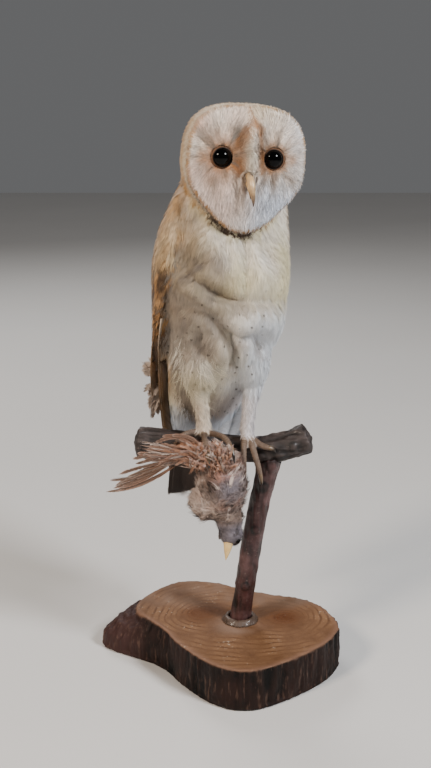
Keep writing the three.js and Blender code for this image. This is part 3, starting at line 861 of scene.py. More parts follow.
SMOOTH = dict(steps=4, hug=0.95, roll=0.14)
SOFT = dict(**SMOOTH, gloss=0.2)
STYLES = {
    "face": dict(
        nodes=["facial_disc"],
        spacing=lambda p: np.clip(0.7 + 0.025 * eye_gap(p), 0.66, 1.15),
        each=dict(
            length=face_length,
            wide=lambda p: 0.13 * face_length(p) + 0.25,
            lift=lambda p: 1.5 + 1.3 * noise(p, 5, 16) * ramp(eye_gap(p), 3, 9),
        ),
        barbs=4, steps=3, ragged=0.5, ruffle=0.9, stray=0.24, hug=0.8, cup=0.15, overlap=0.85, streaks=2.8,
        roll=0.35,
    ),
    "crown": dict(
        nodes=["head"], spacing=fixed(1.8), each=dict(length=8.5, wide=2.0, lift=2.4),
        barbs=7, steps=3, ragged=0.3,
    ),
    "neck": dict(
        nodes=["neck"], spacing=fixed(2.5), each=dict(length=13, wide=3.2, lift=2.8),
        **SOFT, barbs=12, ragged=0.35, ruffle=0.4, overlap=1.1,
    ),
    "breast": dict(
        nodes=["breast"], spacing=fixed(2.5), each=dict(length=13, wide=3.2, lift=2.6),
        **SOFT, barbs=13, ragged=0.4, ruffle=0.4, overlap=1.05,
    ),
    "belly": dict(
        nodes=["belly"], spacing=fixed(2.5), each=dict(length=14, wide=3.2, lift=2.8),
        **SOFT, barbs=13, ragged=0.45, ruffle=0.6, overlap=1.05,
    ),
    "back": dict(
        nodes=["back"], spacing=fixed(4.2), each=dict(length=19, wide=6.0, lift=3.0),
        barbs=13, steps=4, ragged=0.15, ruffle=0.4, round=0.45, overlap=1.4,
    ),
    **{
        wing: dict(
            nodes=[wing], spacing=fixed(3.3), each=dict(length=14, wide=4.2, lift=1.9),
            **SMOOTH, barbs=11, ruffle=0.3, round=0.45, streaks=1.8,
        )
        for wing in WINGS
    },
    "thighs": dict(
        nodes=["thigh_right", "thigh_left"], spacing=fixed(1.7), each=dict(length=12, wide=1.9, lift=2.8),
        barbs=7, steps=3, ragged=0.4, ruffle=0.7, overlap=1.1,
    ),
    "shanks": dict(
        nodes=["shank_right", "shank_left"], spacing=fixed(1.15), each=dict(length=7, wide=0.9, lift=1.5),
        barbs=4, steps=3, ragged=0.5, ruffle=1.3, overlap=0.8, stray=0.3, streaks=2.4, gloss=0.8, roll=0.4,
    ),
    "toes": dict(
        nodes=TOES, spacing=fixed(1.5), each=dict(length=2.6, wide=0.18, lift=0.5),
        barbs=2, steps=2, ragged=0.4, ruffle=0.2, overlap=0.8,
    ),
}

# %% Grow the body feathers
coats = {}
for number, (name, style) in enumerate(STYLES.items()):
    rng = np.random.default_rng(100 + number)
    wanted = np.flatnonzero(on(owl_surface["face_region"], *style["nodes"]))
    places, faces = scatter(skin_points, skin_triangles, wanted, style["spacing"], rng)
    if name == "face":
        clear = (eye_gap(places) > 0.1) & (disc_share(to_face(places)) < 0.94)
        places, faces = places[clear], faces[clear]
    style["fields"] = dict(tint=markings, wash=washes, spotted=spotting)
    coats[name] = grow("coat_" + name, owl_surface, places, faces, style, rng)


def grow_lying(name, lie_of, places, faces, marks, style, rng):
    """A coat piece of the owl with its own lie and markings. Without faces, its places are laid on skin."""
    if faces is None:
        places, _, faces = nearest(owl_surface["tree"], places)
    style["fields"] = dict(tint=marks, wash=washes)
    return grow("coat_" + name, {**owl_surface, "lie": lie_of}, places, faces, style, rng)


# %% [markdown]
# Two kinds of face feather have a manner of their own. The ruff is a cord of short stiff feathers round the
# rim of the face, gold with dark flecks below. Long wispy bristles start on the ridge between the eyes and
# hide the upper half of the bill.

# %% Ruff and bristles
def ruff_lie(points, region):
    x, _, z = to_face(points).T
    return unit((unit(columns(x, 0, z)) * 0.75 + [0, 0.6, 0]) @ FACE_TURN.T)


def ruff_marks(points, region):
    x, y, z = to_face(points).T
    fleck = noise(points, 1.5, 35)
    low = ramp(-z, 2, 22) * np.where(x < 8, 1, 0.62)
    gold = 0.66 + 0.5 * noise(points, 2.2, 36) + 0.2 * low
    edge = ramp(y, -25.8, -24.3)
    dark = 0.95 * low * edge * ramp(fleck + 1.1 * low, -0.1, 0.5) + 0.4 * ramp(fleck, 0.25, 0.55)
    return columns(gold, 0.04 + 0.08 * low, 0.14, dark).clip(0, 1)


RUFF_ROWS = [(0.95, -28), (0.985, -25), (1.02, -22), (1.035, -19)]  # share of the disc, and place in depth
RUFF_COUNT = 320  # feathers in each row


def rim_roots(share, depth, rng):
    turn = (np.arange(RUFF_COUNT) + rng.uniform(-0.3, 0.3, RUFF_COUNT)) * 2 * np.pi / RUFF_COUNT
    flat = columns(DISC_HALF[0] * np.cos(turn), 0, DISC_HALF[1] * np.sin(turn))
    flat = flat * (share / disc_share(flat))[:, None]
    flat[:, 1] = depth
    return from_face(flat)


rng = np.random.default_rng(131)
places = np.concatenate([rim_roots(share, depth, rng) for share, depth in RUFF_ROWS])
style = dict(each=dict(length=4.2, wide=1.2, lift=1.9), barbs=5, steps=3, ragged=0.25, ruffle=0.4, hug=0.7)
coats["ruff"] = grow_lying("ruff", ruff_lie, places, None, ruff_marks, style, rng)


def bristle_lie(points, region):
    x = to_face(points)[:, 0]
    forward = -1.15 * bell(x, 0, 3.8) - 0.3
    inward = np.where(np.abs(x) > 3.2, -0.085, 0.1)
    return unit(columns(inward * x, forward, -1.0) @ FACE_TURN.T)


def bristle_length(points):
    return 12.5 + 5 * noise(points, 2.5, 39) + 5 * bell(to_face(points)[:, 0], 0.5, 5)


def bristle_marks(points, region):
    x, _, z = to_face(points).T
    gold = 0.16 * ramp(z, -12, 2) + 0.1 * noise(points, 2, 38)
    return columns(gold.clip(0, 1), 0.3 * bell(z, -1, 6) * ramp(-x, 0, 4), 0.08, 0)


rng = np.random.default_rng(132)
wanted = np.flatnonzero(on(owl_surface["face_region"], "facial_disc"))
places, faces = scatter(skin_points, skin_triangles, wanted, fixed(0.85), rng)
x, _, z = to_face(places).T
half = np.interp(z, [-19, -8, 4, 16], [9, 7.5, 4.5, 2]) * rng.uniform(0.5, 1, len(z))
near_bill = (np.abs(x - 0.3) < half) & (np.abs(z + 1.5) < 17.5) & (eye_gap(places) > 1.5)
places, faces = places[near_bill], faces[near_bill]
style = dict(
    each=dict(length=bristle_length, wide=0.9, lift=2.0),
    barbs=4, steps=5, ragged=0.65, ruffle=2.4, overlap=0.7, hug=0.1, stray=0.34, streaks=2.0,
)
coats["bristles"] = grow_lying("bristles", bristle_lie, places, faces, bristle_marks, style, rng)

# %% Lashes, the fringe of the eyes and loose wisps
def lash_lie(points, region):
    return unit((eye_rays(points)[0] + [0, -0.7, 0]) @ FACE_TURN.T)


def inner_side(points):
    """1 on the side of an eye that is towards the bill, and 0 on its other side."""
    rays, side = eye_rays(points)
    return ramp(-side * rays[:, 0], -0.4, 0.9)


def lash_marks(points, region):
    inner = inner_side(points)
    return columns(0.4, 0.6 * inner, 0, 0.5 - 0.3 * inner)


LASH_COUNT = 120  # round each eye
rng = np.random.default_rng(133)
turn = np.linspace(0, 2 * np.pi, LASH_COUNT, endpoint=False) + rng.uniform(-0.03, 0.03, LASH_COUNT)
rings = []
for sign in SIGN.values():
    reach = SOCKET_RADIUS + rng.uniform(0, 0.8, LASH_COUNT)
    rings.append(columns(sign * EYE_SPREAD + reach * np.cos(turn), -27.0, EYE_HEIGHT + reach * np.sin(turn)))
places = from_face(np.concatenate(rings))
style = dict(
    each=dict(length=2.8, wide=0.3, lift=0.8),
    barbs=2, steps=3, ragged=0.6, ruffle=0.7, overlap=0.6, hug=0.35, stray=0.4,
)
coats["lashes"] = grow_lying("lashes", lash_lie, places, None, lash_marks, style, rng)


def fringe_lie(points, region):
    return unit(([0, -1.0, 0] - 0.75 * eye_rays(points)[0]) @ FACE_TURN.T)


def fringe_marks(points, region):
    inner, low = inner_side(points), ramp(-eye_rays(points)[0][:, 2], 0.2, 0.9)
    return columns(0.45, 0.3 + 0.4 * inner, 0.3 - 0.2 * inner, 0.42 - 0.25 * low)


style = dict(
    each=dict(length=1.9, wide=0.4, lift=0.5), barbs=3, steps=3, ragged=0.5, overlap=0.8, hug=0.2, stray=0.3
)
coats["fringe"] = grow_lying("eye_fringe", fringe_lie, places, None, fringe_marks, style, rng)


def wisp_lie(points, region):
    on_flank = to_body(points)[:, :1] < -30
    return unit(np.where(on_flank, [-0.42, 0.25, -1.0], [0.5, -0.12, -1.0]) @ BODY_TURN.T)


def pale(points, region):
    return columns(np.full(len(points), 0.08), 0, 0, 0)


rng = np.random.default_rng(134)
thigh_tuft = [-28, -20, 264] + rng.normal(0, 1, (150, 3)) * [3.4, 2, 6]
flank_tuft = [-38, -2, 256] + rng.normal(0, 1, (150, 3)) * [2, 5, 14]
places = from_body(np.concatenate([thigh_tuft, flank_tuft]))
style = dict(
    each=dict(length=25, wide=1.0, lift=5.0),
    barbs=3, steps=6, ragged=0.6, ruffle=3.5, overlap=0.5, hug=0.3, stray=0.34, round=0.2, streaks=3.0,
)
coats["wisps"] = grow_lying("wisps", wisp_lie, places, None, pale, style, rng)

# %% [markdown]
# ## Large feathers
#
# The quills of wing and tail have a real outline, so each is drawn for itself: a curved shaft, and on each
# side a row of barbs that sweep towards the tip and just overlap. Here and there their sweep jumps a
# little, which opens the small splits that every old feather has.

# %% Splines, tubes and bands
def spline(rows, count):
    """Smooth rows through the given ones."""
    rows = np.asarray(rows, float)
    at = np.linspace(0, len(rows) - 1, count)
    low = np.minimum(at.astype(int), len(rows) - 2)
    t = (at - low)[:, None]
    padded = np.concatenate([2 * rows[:1] - rows[1:2], rows, 2 * rows[-1:] - rows[-2:-1]])
    a, b, c, d = (padded[low + k] for k in range(4))
    return 0.5 * (2 * b + (c - a) * t + (2 * a - 5 * b + 4 * c - d) * t**2 + (3 * b - a - 3 * c + d) * t**3)


def grid_faces(rows, columns, closed):
    """Quads between the points of a grid. A closed grid joins its last column to its first."""
    i, j = np.meshgrid(np.arange(rows - 1), np.arange(columns if closed else columns - 1), indexing="ij")
    i, j = i.ravel() * columns, j.ravel()
    after = (j + 1) % columns
    return np.stack([i + after, i + j, i + columns + j, i + columns + after], axis=1)


def tube(line, radii, sides, upright=(0.31, 0.17, 0.93), flat=(1, 1)):
    """A round limb along a line, with a radius at each point. flat squeezes its two cross directions."""
    runs = unit(np.gradient(line, axis=0))
    side = unit(np.cross(runs, upright))
    other = np.cross(side, runs)
    turn = np.arange(sides) * 2 * np.pi / sides
    ring = flat[0] * np.cos(turn)[:, None] * side[:, None] + flat[1] * np.sin(turn)[:, None] * other[:, None]
    points = (line[:, None] + ring * np.reshape(radii, (-1, 1, 1))).reshape(-1, 3)
    centres = len(points)
    points = np.concatenate([points, line[:1], line[-1:]])
    first = np.arange(sides)
    after = (first + 1) % sides
    last = (len(line) - 1) * sides
    caps = [
        np.stack([first, after, np.full(sides, centres)], axis=1),
        np.stack([last + after, last + first, np.full(sides, centres + 1)], axis=1),
    ]
    return {"points": points, "quads": grid_faces(len(line), sides, True), "tris": np.concatenate(caps)}


def pour(name, parts):
    """One piece from many parts. Each has points, faces and the same fields, with a value at every point."""
    start, points, quads, tris = 0, [], [], []
    for part in parts:
        points.append(part["points"])
        quads.append(part.get("quads", np.empty((0, 4), int)) + start)
        tris.append(part.get("tris", np.empty((0, 3), int)) + start)
        start += len(part["points"])
    piece = mesh_piece(name, np.concatenate(points), [np.concatenate(quads), np.concatenate(tris)])
    for field in parts[0].get("fields", {}):
        give(piece, field, np.concatenate([part["fields"][field] for part in parts]))
    return piece


# %% One large feather
def along_rows(rows, share):
    """Rows looked up at a share of their length, and carried on straight beyond the end."""
    spot = share * (len(rows) - 1)
    low = np.clip(spot.astype(int), 0, len(rows) - 2)
    part = (spot - low)[..., None]
    return rows[low] * (1 - part) + rows[low + 1] * part


def vane(
    line, across, up, wide, marks, rng,
    barbs=60, sweep=0.9, camber=0.18, gaps=1.0, blunt=0.13, shaft=0.7, wash=(0.0, 0.0, 0.0),
):
    """A large feather. wide is its half-width in mm on the two sides, marks gives its tint."""
    length = np.linalg.norm(np.diff(line, axis=0), axis=1).sum()
    runs = unit(np.gradient(line, axis=0))
    luck = rng.random()
    root = np.linspace(0.03, 0.995, barbs)
    outline = (0.3 + 0.7 * ramp(root, 0.0, 0.3)) * np.sqrt(1 - (((root - 1 + blunt) / blunt).clip(0, 1)) ** 2)
    share = np.array([0, 0.35, 0.7, 1.0])
    points, facts, strands, quads, tris = [], [], [], [], []
    for number, side in enumerate((-1, 1)):
        breaks = np.sort(rng.random(4))
        leans = 0.022 * gaps * rng.standard_normal(5)
        lean = leans[np.searchsorted(breaks, root)]
        reach = wide[number] * outline * (1 - 0.07 * gaps * rng.random(barbs))
        bow = 0.5 * share + 0.5 * share**2
        place = root[:, None] + (sweep * reach[:, None] * bow) / length + lean[:, None] * share**2
        out = side * along_rows(across, place)
        middle = along_rows(line, place) + out * (reach[:, None] * share)[..., None]
        lift = along_rows(up, place)
        middle = middle - lift * (camber * reach[:, None] * share**2)[..., None]
        half = 0.64 * length / barbs * np.array([1.0, 1.0, 0.85])
        edge = along_rows(runs, place)[:, :3] - 0.22 * lift[:, :3]
        edge = edge * half[:, None]
        rings = np.stack([middle[:, :3] - edge, middle[:, :3] + edge], axis=2).reshape(barbs, 6, 3)
        points.append(np.concatenate([rings, middle[:, 3:]], axis=1).reshape(-1, 3))
        out = np.tile(side * share[[0, 0, 1, 1, 2, 2, 3]], (barbs, 1))
        down = place[:, [0, 0, 1, 1, 2, 2, 3]].clip(0, 1)
        facts.append(columns(out, down, luck).reshape(-1, 3))
        strands.append(np.repeat(rng.random(barbs), 7))
        base = (np.arange(barbs) * 7 + number * barbs * 7)[:, None]
        order = 1 if (np.cross(runs[0], side * across[0]) * up[0]).sum() > 0 else -1
        quads += [base + row[::order] for row in ([0, 1, 3, 2], [2, 3, 5, 4])]
        tris.append(base + [4, 5, 6][::order])
    facts = np.concatenate(facts)
    tint = marks(facts[:, 0], facts[:, 1], luck)
    down = np.linspace(0, 1, len(line))
    core = tube(line + 0.12 * up, shaft * (1 - 0.8 * down), 5)
    more = len(core["points"])
    core_facts = np.zeros((more, 3))
    core_facts[:-2, 1] = np.repeat(down, 5)
    core_facts[:, 2] = luck
    start = sum(len(p) for p in points)
    return {
        "points": np.concatenate(points + [core["points"]]),
        "quads": np.concatenate(quads + [core["quads"] + start]),
        "tris": np.concatenate(tris + [core["tris"] + start]),
        "fields": {
            "vane": np.concatenate([facts, core_facts]),
            "strand": np.concatenate(strands + [np.full(more, 0.6)]),
            "tint": np.concatenate([tint, np.tile([0.45, 0.0, 0.0, 0.12], (more, 1))]),
            "root": np.tile(line[0] * MM, (start + more, 1)),
            "wash": np.tile(wash, (start + more, 1)),
        },
    }


def feather_set(name, parts):
    """Large feathers as one piece, side by side on its flat map."""
    piece = pour(name, parts)
    facts = np.concatenate([part["fields"]["vane"] for part in parts])
    number = np.repeat(np.arange(len(parts)), [len(part["points"]) for part in parts])
    lay_map(piece, columns((number + 0.5 + 0.45 * facts[:, 0]) / len(parts), 0.02 + 0.96 * facts[:, 1]))
    print(f"{name}: {len(parts)} large feathers, {len(piece.data.polygons)} faces")
    return piece


# %% [markdown]
# ## Folded wings and tail
#
# A folded wing is a stack. The longest primary lies innermost and forms the front edge and the point. Each
# next one lies over it, a little further back and ending a little higher. Then come the secondaries, and
# last the greater coverts, which hide all the quills' roots. The tail is twelve feathers with the middle
# pair on top. In a barn owl they are golden buff, crossed by a few dark bars, and white along the inner
# edge.

# %% Where the folded wing lies
# Height, then how far out and back its middle is, its half-width, half-thickness and turn, in mm and
# radians.
WING_ROWS = [
    (128, 10, 69, 4.5, 1.4, 1.3),
    (150, 13, 66, 11, 2.6, 1.2),
    (180, 17, 61, 17, 4, 1.1),
    (215, 23, 54, 22, 5.6, 0.97),
    (250, 30, 46, 26, 7, 0.82),
    (278, 36, 38, 29, 8, 0.68),
    (305, 41.5, 29, 30, 9, 0.5),
    (335, 46, 19, 26, 9, 0.28),
    (359, 45, 11, 19.5, 8.5, 0.12),
]
# Height, how far back the tail is and its half-width, in mm.
TAIL_ROWS = [(131, 61, 29), (155, 56, 29), (185, 50, 26), (215, 45, 24), (238, 42, 20)]


def looked_up(height, rows):
    """The other columns of a table of rows, read off at these heights."""
    heights, *others = np.array(rows, float).T
    return [np.interp(height, heights, values) for values in others]


def wing_line(side, top, bottom, inset, layers, count=20):
    """A shaft on the folded wing: its line and its cross and outward directions.

    inset is how far it lies from the front edge, and layers how far out it starts and ends, where 1 is the
    wing's own surface.
    """
    sign = SIGN[side]
    height = np.linspace(top, bottom, count)
    out, back, half, thick, turn = looked_up(height, WING_ROWS)
    chord = columns(-sign * np.sin(turn), np.cos(turn), 0)
    outward = columns(sign * np.cos(turn), np.sin(turn), 0)
    spot = np.minimum(inset - half, half - 3)
    layer = layers[0] + (layers[1] - layers[0]) * np.linspace(0, 1, count) ** 0.8
    bulge = thick * layer * (1 - 0.35 * (spot / half) ** 2)
    line = columns(sign * out, back, height) + chord * spot[:, None] + outward * bulge[:, None]
    return from_body(line), chord @ BODY_TURN.T, outward @ BODY_TURN.T


def bars(along, count, luck, width):
    """1 on each dark bar across a feather."""
    return bell((along * count + 0.5 * luck) % 1, 0.5, width)


def quill_marks(across, along, luck):
    inner = ramp(across, 0.3, 0.95)
    bar = bars(along, 5, luck, 0.15) * (1 - 0.7 * inner) * ramp(along, 0.1, 0.3)
    gold = (0.95 - 0.2 * luck) * (1 - 0.8 * inner)
    edge_line = 0.75 * ramp(-across, 0.72, 0.95)
    dark = most(0.68 * bar, 0.3 * bell(across, 0.28, 0.2))
    grey = (0.25 + 0.4 * ramp(along, 0.7, 1.0)) * (1 - inner) * (0.4 + luck)
    return columns(gold, 0.2 * (1 - edge_line), grey, dark * (1 - edge_line)).clip(0, 1)


def covert_marks(across, along, luck):
    tip = ramp(along, 0.5, 0.95)
    spot = bell(across, 0, 0.28) * bell(along, 0.92, 0.05)
    gold = (1 - 0.25 * luck) * (1 - 0.25 * tip)
    grey = 0.7 * tip * (0.5 + luck) * (1 - spot)
    dark = 0.45 * bell(across, 0, 0.3) * bell(along, 0.8, 0.08) + 0.2 * bars(along, 3, luck, 0.12)
    return columns(gold * (1 - spot), 0.25 * (1 - tip), grey, dark).clip(0, 1)


def tail_marks(across, along, luck):
    bar = bars(along, 5, 0.2, 0.13)
    edge = ramp(np.abs(across), 0.5, 1)
    gold = 0.9 - 0.4 * edge - 0.4 * ramp(along, 0.93, 1)
    # Painted shadow: the far half of each tail feather is dark and greyer, for the shade that it hangs in
    # behind the perch and the finch.
    tip_shadow = 0.97 * ramp(along, 0.5, 0.7)
    return columns(gold, 0.1, 0.45 * ramp(along, 0.6, 1), most(0.65 * bar, tip_shadow))


# %% Wing and tail feathers
quills = {}
for side in SIDES:
    rng = np.random.default_rng({"right": 201, "left": 202}[side])
    parts = []
    for j in range(10):
        tip = 128 + 8.5 * j + rng.normal(0, 1.2)
        line, across, up = wing_line(side, 300, tip, 3 + 3.2 * j, (-0.5, -0.5 + 0.1 * j))
        parts.append(vane(line, across, up, (3.4, 10.5), quill_marks, rng, barbs=90, sweep=1.3, blunt=0.1))
    for k in range(9):
        tip = 194 + 4.5 * k + rng.normal(0, 1.5)
        line, across, up = wing_line(side, 300, tip, 13 + 4.5 * k, (-0.1, 0.55 + 0.05 * k))
        parts.append(vane(line, across, up, (5.5, 8.5), quill_marks, rng, barbs=64, blunt=0.16))
    for i in range(11):
        tip = 228 + 1.6 * i + rng.normal(0, 1.2)
        line, across, up = wing_line(side, 296, tip, 3.5 + 4.9 * i, (0.0, 1.05 + 0.015 * i))
        parts.append(vane(line, across, up, (5.2, 6), covert_marks, rng, barbs=48, blunt=0.22, shaft=0.4))
    quills[side] = feather_set("quills_" + side, parts)

rng = np.random.default_rng(203)
parts = []
for j in range(12):
    share = (j - 5.5) / 5.5
    height = np.linspace(232, 131 + 4 * share**2, 20)
    back, half = looked_up(height, TAIL_ROWS)
    spread = (half - 6.5) * share
    line = columns(spread, back + 2.5 - 5 * share**2, height)
    across = np.tile(unit([1.0, -0.45 * share, 0.0]), (20, 1)) @ BODY_TURN.T
    up = np.tile(unit([0.45 * share, 1.0, 0.25]), (20, 1)) @ BODY_TURN.T
    line = from_body(line) + 2.2 * (1 - abs(share)) * up
    parts.append(vane(line, across, up, (7.5, 7.5), tail_marks, rng, barbs=72, blunt=0.09))
tail_feathers = feather_set("tail_feathers", parts)

# %% [markdown]
# Some soft plumes stand away from the coat: downy tufts behind the wing, and the white undertail coverts
# that hang between the legs.

# %% Loose plumes
def plume(rows, toward, wide, marks, wash, barbs, gaps, sweep=0.7):
    """A soft plume along a few places, with its flat side turned towards a direction."""
    line = spline(rows, 16)
    runs = unit(np.gradient(line, axis=0))
    toward = unit(toward + 0.3 * rng.standard_normal(3))
    up = unit(toward - (runs @ toward)[:, None] * runs)
    return vane(
        line, np.cross(up, runs), up, (wide, wide * 1.1), marks, rng,
        barbs=barbs, sweep=sweep, camber=0.3, gaps=gaps, blunt=0.35, shaft=0.12, wash=wash,
    )


def pale_marks(across, along, luck):
    return columns(0.1, 0, 0.12 * (1 - along), 0)


def down_marks(across, along, luck):
    return columns(0.1, 0, 0.35 + 0.3 * luck, 0.08 * along)


# The pale down takes the painted cool light tint, and the grey down a little of it and the pink.
PALE_DOWN = dict(marks=pale_marks, wash=(0.0, 0.85, 0.0), barbs=34, gaps=1.5)
GREY_DOWN = dict(marks=down_marks, wash=(0.0, 0.1, 0.45), barbs=40, gaps=5)


rng = np.random.default_rng(204)
parts = []
for k in range(30):
    left, back, top = rng.uniform(-18, 42), rng.uniform(26, 36), rng.uniform(212, 226)
    below = [[left * 0.93, back + 8, top - 22], [left * 0.85, back + 15, top - 42]]
    drop = from_body([[left, back, top], *below])
    parts.append(plume(drop, [0.0, -1.0, 0.15] @ BODY_TURN.T, 6.5, **PALE_DOWN))
for k in range(34):
    start = [-50, 24, 252] + rng.normal(0, 2, 3)
    end = start + [-8 - rng.uniform(0, 4), 4, rng.uniform(-9, 6)]
    middle = (start + end) / 2 + rng.normal(0, 1.2, 3)
    parts.append(plume([start, middle, end], rng.normal(0, 1, 3), 2.6, **GREY_DOWN))
for k in range(44):
    start = [-48, 28, 238 - 0.4 * k] + rng.normal(0, 2, 3)
    end = start + [-5 - rng.uniform(0, 5), 3, -6 - rng.uniform(0, 12)]
    middle = (start + end) / 2 + [-2, 0, 1] + rng.normal(0, 1, 3)
    parts.append(plume([start, middle, end], rng.normal(0, 1, 3), 2.6, **GREY_DOWN))
loose_plumes = feather_set("loose_plumes", parts)

# %% [markdown]
# ## Eyes and lids
#
# A taxidermist sets ready-made glass eyes: black domes with a hint of brown iris, as a barn owl's eyes are.
# The lid is a small roll of bare skin that lies on the glass all round, so that the eye looks set in.

# %% Eyes and lids
def face_way(x, y, z):
    """A direction given in the face's frame."""
    return unit([[x, y, z]] @ FACE_TURN.T)[0]


def dome(centre, radius, axis, rings, sides):
    """A sphere with its poles on the axis, and how far round from the front each point is."""
    angle = np.linspace(0.02, np.pi - 0.02, rings)
    line = centre + axis * (radius * np.cos(angle))[:, None]
    part = tube(line, radius * np.sin(angle), sides)
    turn = np.concatenate([np.repeat(angle, sides), [0.0, np.pi]]) / (np.pi / 2)
    part["fields"] = {"radial": turn}
    return part


EYE_BACK = -24.4  # the middle of the glass, behind the middle of the face
eyes = {}
for side, sign in SIGN.items():
    centre = from_face([[sign * EYE_SPREAD, EYE_BACK, EYE_HEIGHT]])[0]
    front = face_way(sign * 0.1, -1, 0.02)
    eyes[side] = pour("glass_eye_" + side, [dome(centre, EYE_RADIUS, front, 30, 48)])

# The lids' profile from the opening outwards: radius, place in depth, and how much it overhangs, is
# wrinkled and is as pale as the feathers round it.
LID_ROWS = [
    (6.85, -3.6, 1, 0, 0),
    (7.0, -4.1, 1, 0.4, 0),
    (7.15, -4.15, 0.8, 1, 0),
    (7.35, -4.0, 0.6, 1, 0.12),
    (7.65, -3.7, 0.4, 1, 0.5),
    (8.1, -3.2, 0.1, 0.6, 0.9),
    (8.8, -2.2, 0, 0.3, 1),
    (9.3, -0.9, 0, 0, 1),
]
LID_REACH, LID_RISE, OVERHANG, WRINKLED, PALE = np.array(LID_ROWS).T
LID_SIDES = 56
lids = []
for sign in SIGN.values():
    turn = np.linspace(0, 2 * np.pi, LID_SIDES, endpoint=False)
    upper = ramp(np.sin(turn), -0.2, 1)
    inner = ramp(-sign * np.cos(turn) - 0.6 * np.sin(turn), 0.6, 1.2)
    reach = LID_REACH - 0.35 * upper[:, None] * OVERHANG + 0.2 * inner[:, None]
    bumps = 0.09 * np.sin(9 * turn + sign) + 0.07 * np.sin(23 * turn)
    rise = LID_RISE - 0.25 * upper[:, None] + bumps[:, None] * WRINKLED
    x = sign * EYE_SPREAD + reach * np.cos(turn)[:, None]
    z = EYE_HEIGHT + reach * np.sin(turn)[:, None]
    grid = columns(x, EYE_BACK + rise, z).transpose(1, 0, 2)
    faces = grid_faces(len(LID_ROWS), LID_SIDES, True)
    fields = {"pale": np.repeat(PALE, LID_SIDES)}
    lids.append({"points": from_face(grid.reshape(-1, 3)), "quads": faces[:, ::-1], "fields": fields})
eyelids = pour("eyelids", lids)

# %% [markdown]
# ## Bill and claws
#
# Bill and claws are horn: a core of bone with a smooth hard sheath that tapers to a hook. Each is a tube
# along a curve, squeezed from side to side. The bristles of the face cover the root of the bill.

# %% Bill and claws
# The middle line of each half of the bill in the face's frame, and its radius there, in mm.
UPPER_BILL = [
    (0, -30, -2, 3.5),
    (0, -36.5, -5, 3.4),
    (0.4, -41.3, -10, 3.2),
    (1.2, -43, -16, 2.5),
    (2.1, -42.8, -21.2, 1.55),
    (2.8, -41.6, -25.8, 0.3),
]
LOWER_BILL = [(0, -30, -9, 2.7), (0.2, -35.5, -12, 2.4), (0.5, -39, -16, 1.8), (0.8, -40.4, -20.5, 0.6)]


def horn_tube(line, radii, sides, upright, flat):
    """A tube of horn that knows how far along it each point is."""
    part = tube(line, radii, sides, upright, flat)
    part["fields"] = {"reach": np.concatenate([np.repeat(np.linspace(0, 1, len(line)), sides), [0, 1]])}
    return part


def bill_half(name, rows, flat):
    rows = spline(rows, 26)
    return pour(name, [horn_tube(from_face(rows[:, :3]), rows[:, 3], 24, face_way(1, 0, 0), flat)])


upper_bill = bill_half("bill_upper_horn", UPPER_BILL, (1.0, 0.8))
lower_bill = bill_half("bill_lower_horn", LOWER_BILL, (0.8, 0.75))

# Each toe's middle line in mm, and then, in the same order, the two places where each claw bends and ends.
TOE_LINES = {
    "left_inner": [(20.5, -8.5, 201), (19.5, -14.5, 195), (19.5, -16.5, 184), (20, -15, 175)],
    "left_middle": [(24.5, -8, 200.5), (27, -13.5, 194.5), (30.5, -15.5, 183), (33, -14.5, 173)],
    "left_outer": [(27.5, -6, 199.8), (31.5, -9.5, 197.2), (36, -10.5, 195.2), (39.5, -10.5, 194)],
    "left_hind": [(22, 3, 203.6), (21.5, 9, 203.2), (21, 15.5, 200), (21, 19.8, 193)],
    "right_inner": [(-8, -9.5, 205.5), (-2, -15, 206.5), (4, -22, 206), (9, -29.5, 201.5)],
    "right_middle": [(-12, -12, 205.5), (-12, -20, 206), (-11, -28, 204), (-9.5, -34, 198)],
    "right_outer": [(-16.5, -8, 206), (-23, -10.5, 206.5), (-29, -13.5, 205), (-34, -16, 200)],
    "right_hind": [(-12, 0, 206.6), (-12, 6.5, 206.8), (-12, 13, 204.6), (-12, 18.2, 199)],
}
CLAW_LINES = [
    [(20.5, -12.5, 168), (21, -7.5, 164.5)],
    [(34, -12.5, 165.5), (34, -8, 161)],
    [(43.5, -10.2, 192.4), (45.5, -9.6, 189.5)],
    [(21, 20, 186.5), (21, 17.5, 181)],
    [(11, -34.5, 195.5), (12, -36.5, 189.5)],
    [(-8.5, -37, 191), (-8, -36.5, 185)],
    [(-36.5, -17.5, 194), (-37, -17.5, 188)],
    [(-12, 20.6, 192), (-12, 19, 186)],
]
claws, scutes = {}, []
for (name, toe), claw in zip(TOE_LINES.items(), CLAW_LINES):
    line = spline(toe[2:] + claw, 30)[8:]
    radii = np.interp(np.linspace(0, 1, 22), [0, 0.15, 0.6, 0.9, 1], [1.5, 2.0, 1.45, 0.7, 0.12])
    claws[name] = pour("talon_" + name, [horn_tube(line, radii, 16, (0.3, 0.2, 0.1), (1.0, 0.85))])

# %% [markdown]
# Rows of scutes, small overlapping shields, run along the top of each toe. They are curved plates that lie
# on the skin, each a little raised at its lower edge.

# %% Scutes on the toes
for toe in TOE_LINES.values():
    line = spline(toe, 60)[6:]
    runs = unit(np.gradient(line, axis=0))
    away = line - [0, 6, 190]
    away[:, 0] = 0
    top = unit(away - (away * runs).sum(1, keepdims=True) * runs)
    side = np.cross(runs, top)
    angle = np.linspace(-1.25, 1.25, 9)
    for k in range(0, 50, 4):
        span = np.array([k, k + 2, k + 4])
        size = 2.4 * np.interp(span / 59, [0, 0.4, 0.75, 1], [1.1, 1, 0.95, 0.72])
        size = size + [0.05, 0.25, 0.42]
        size = size[:, None] * (1 - 0.05 * (angle / 1.25) ** 4)
        out = np.cos(angle)[:, None] * top[span][:, None] + np.sin(angle)[:, None] * side[span][:, None]
        grid = line[span][:, None] + size[..., None] * out
        scutes.append({"points": grid.reshape(-1, 3), "quads": grid_faces(3, 9, False)})
toe_scutes = pour("toe_scutes", scutes)
print("bill, claws and", len(scutes), "scutes")

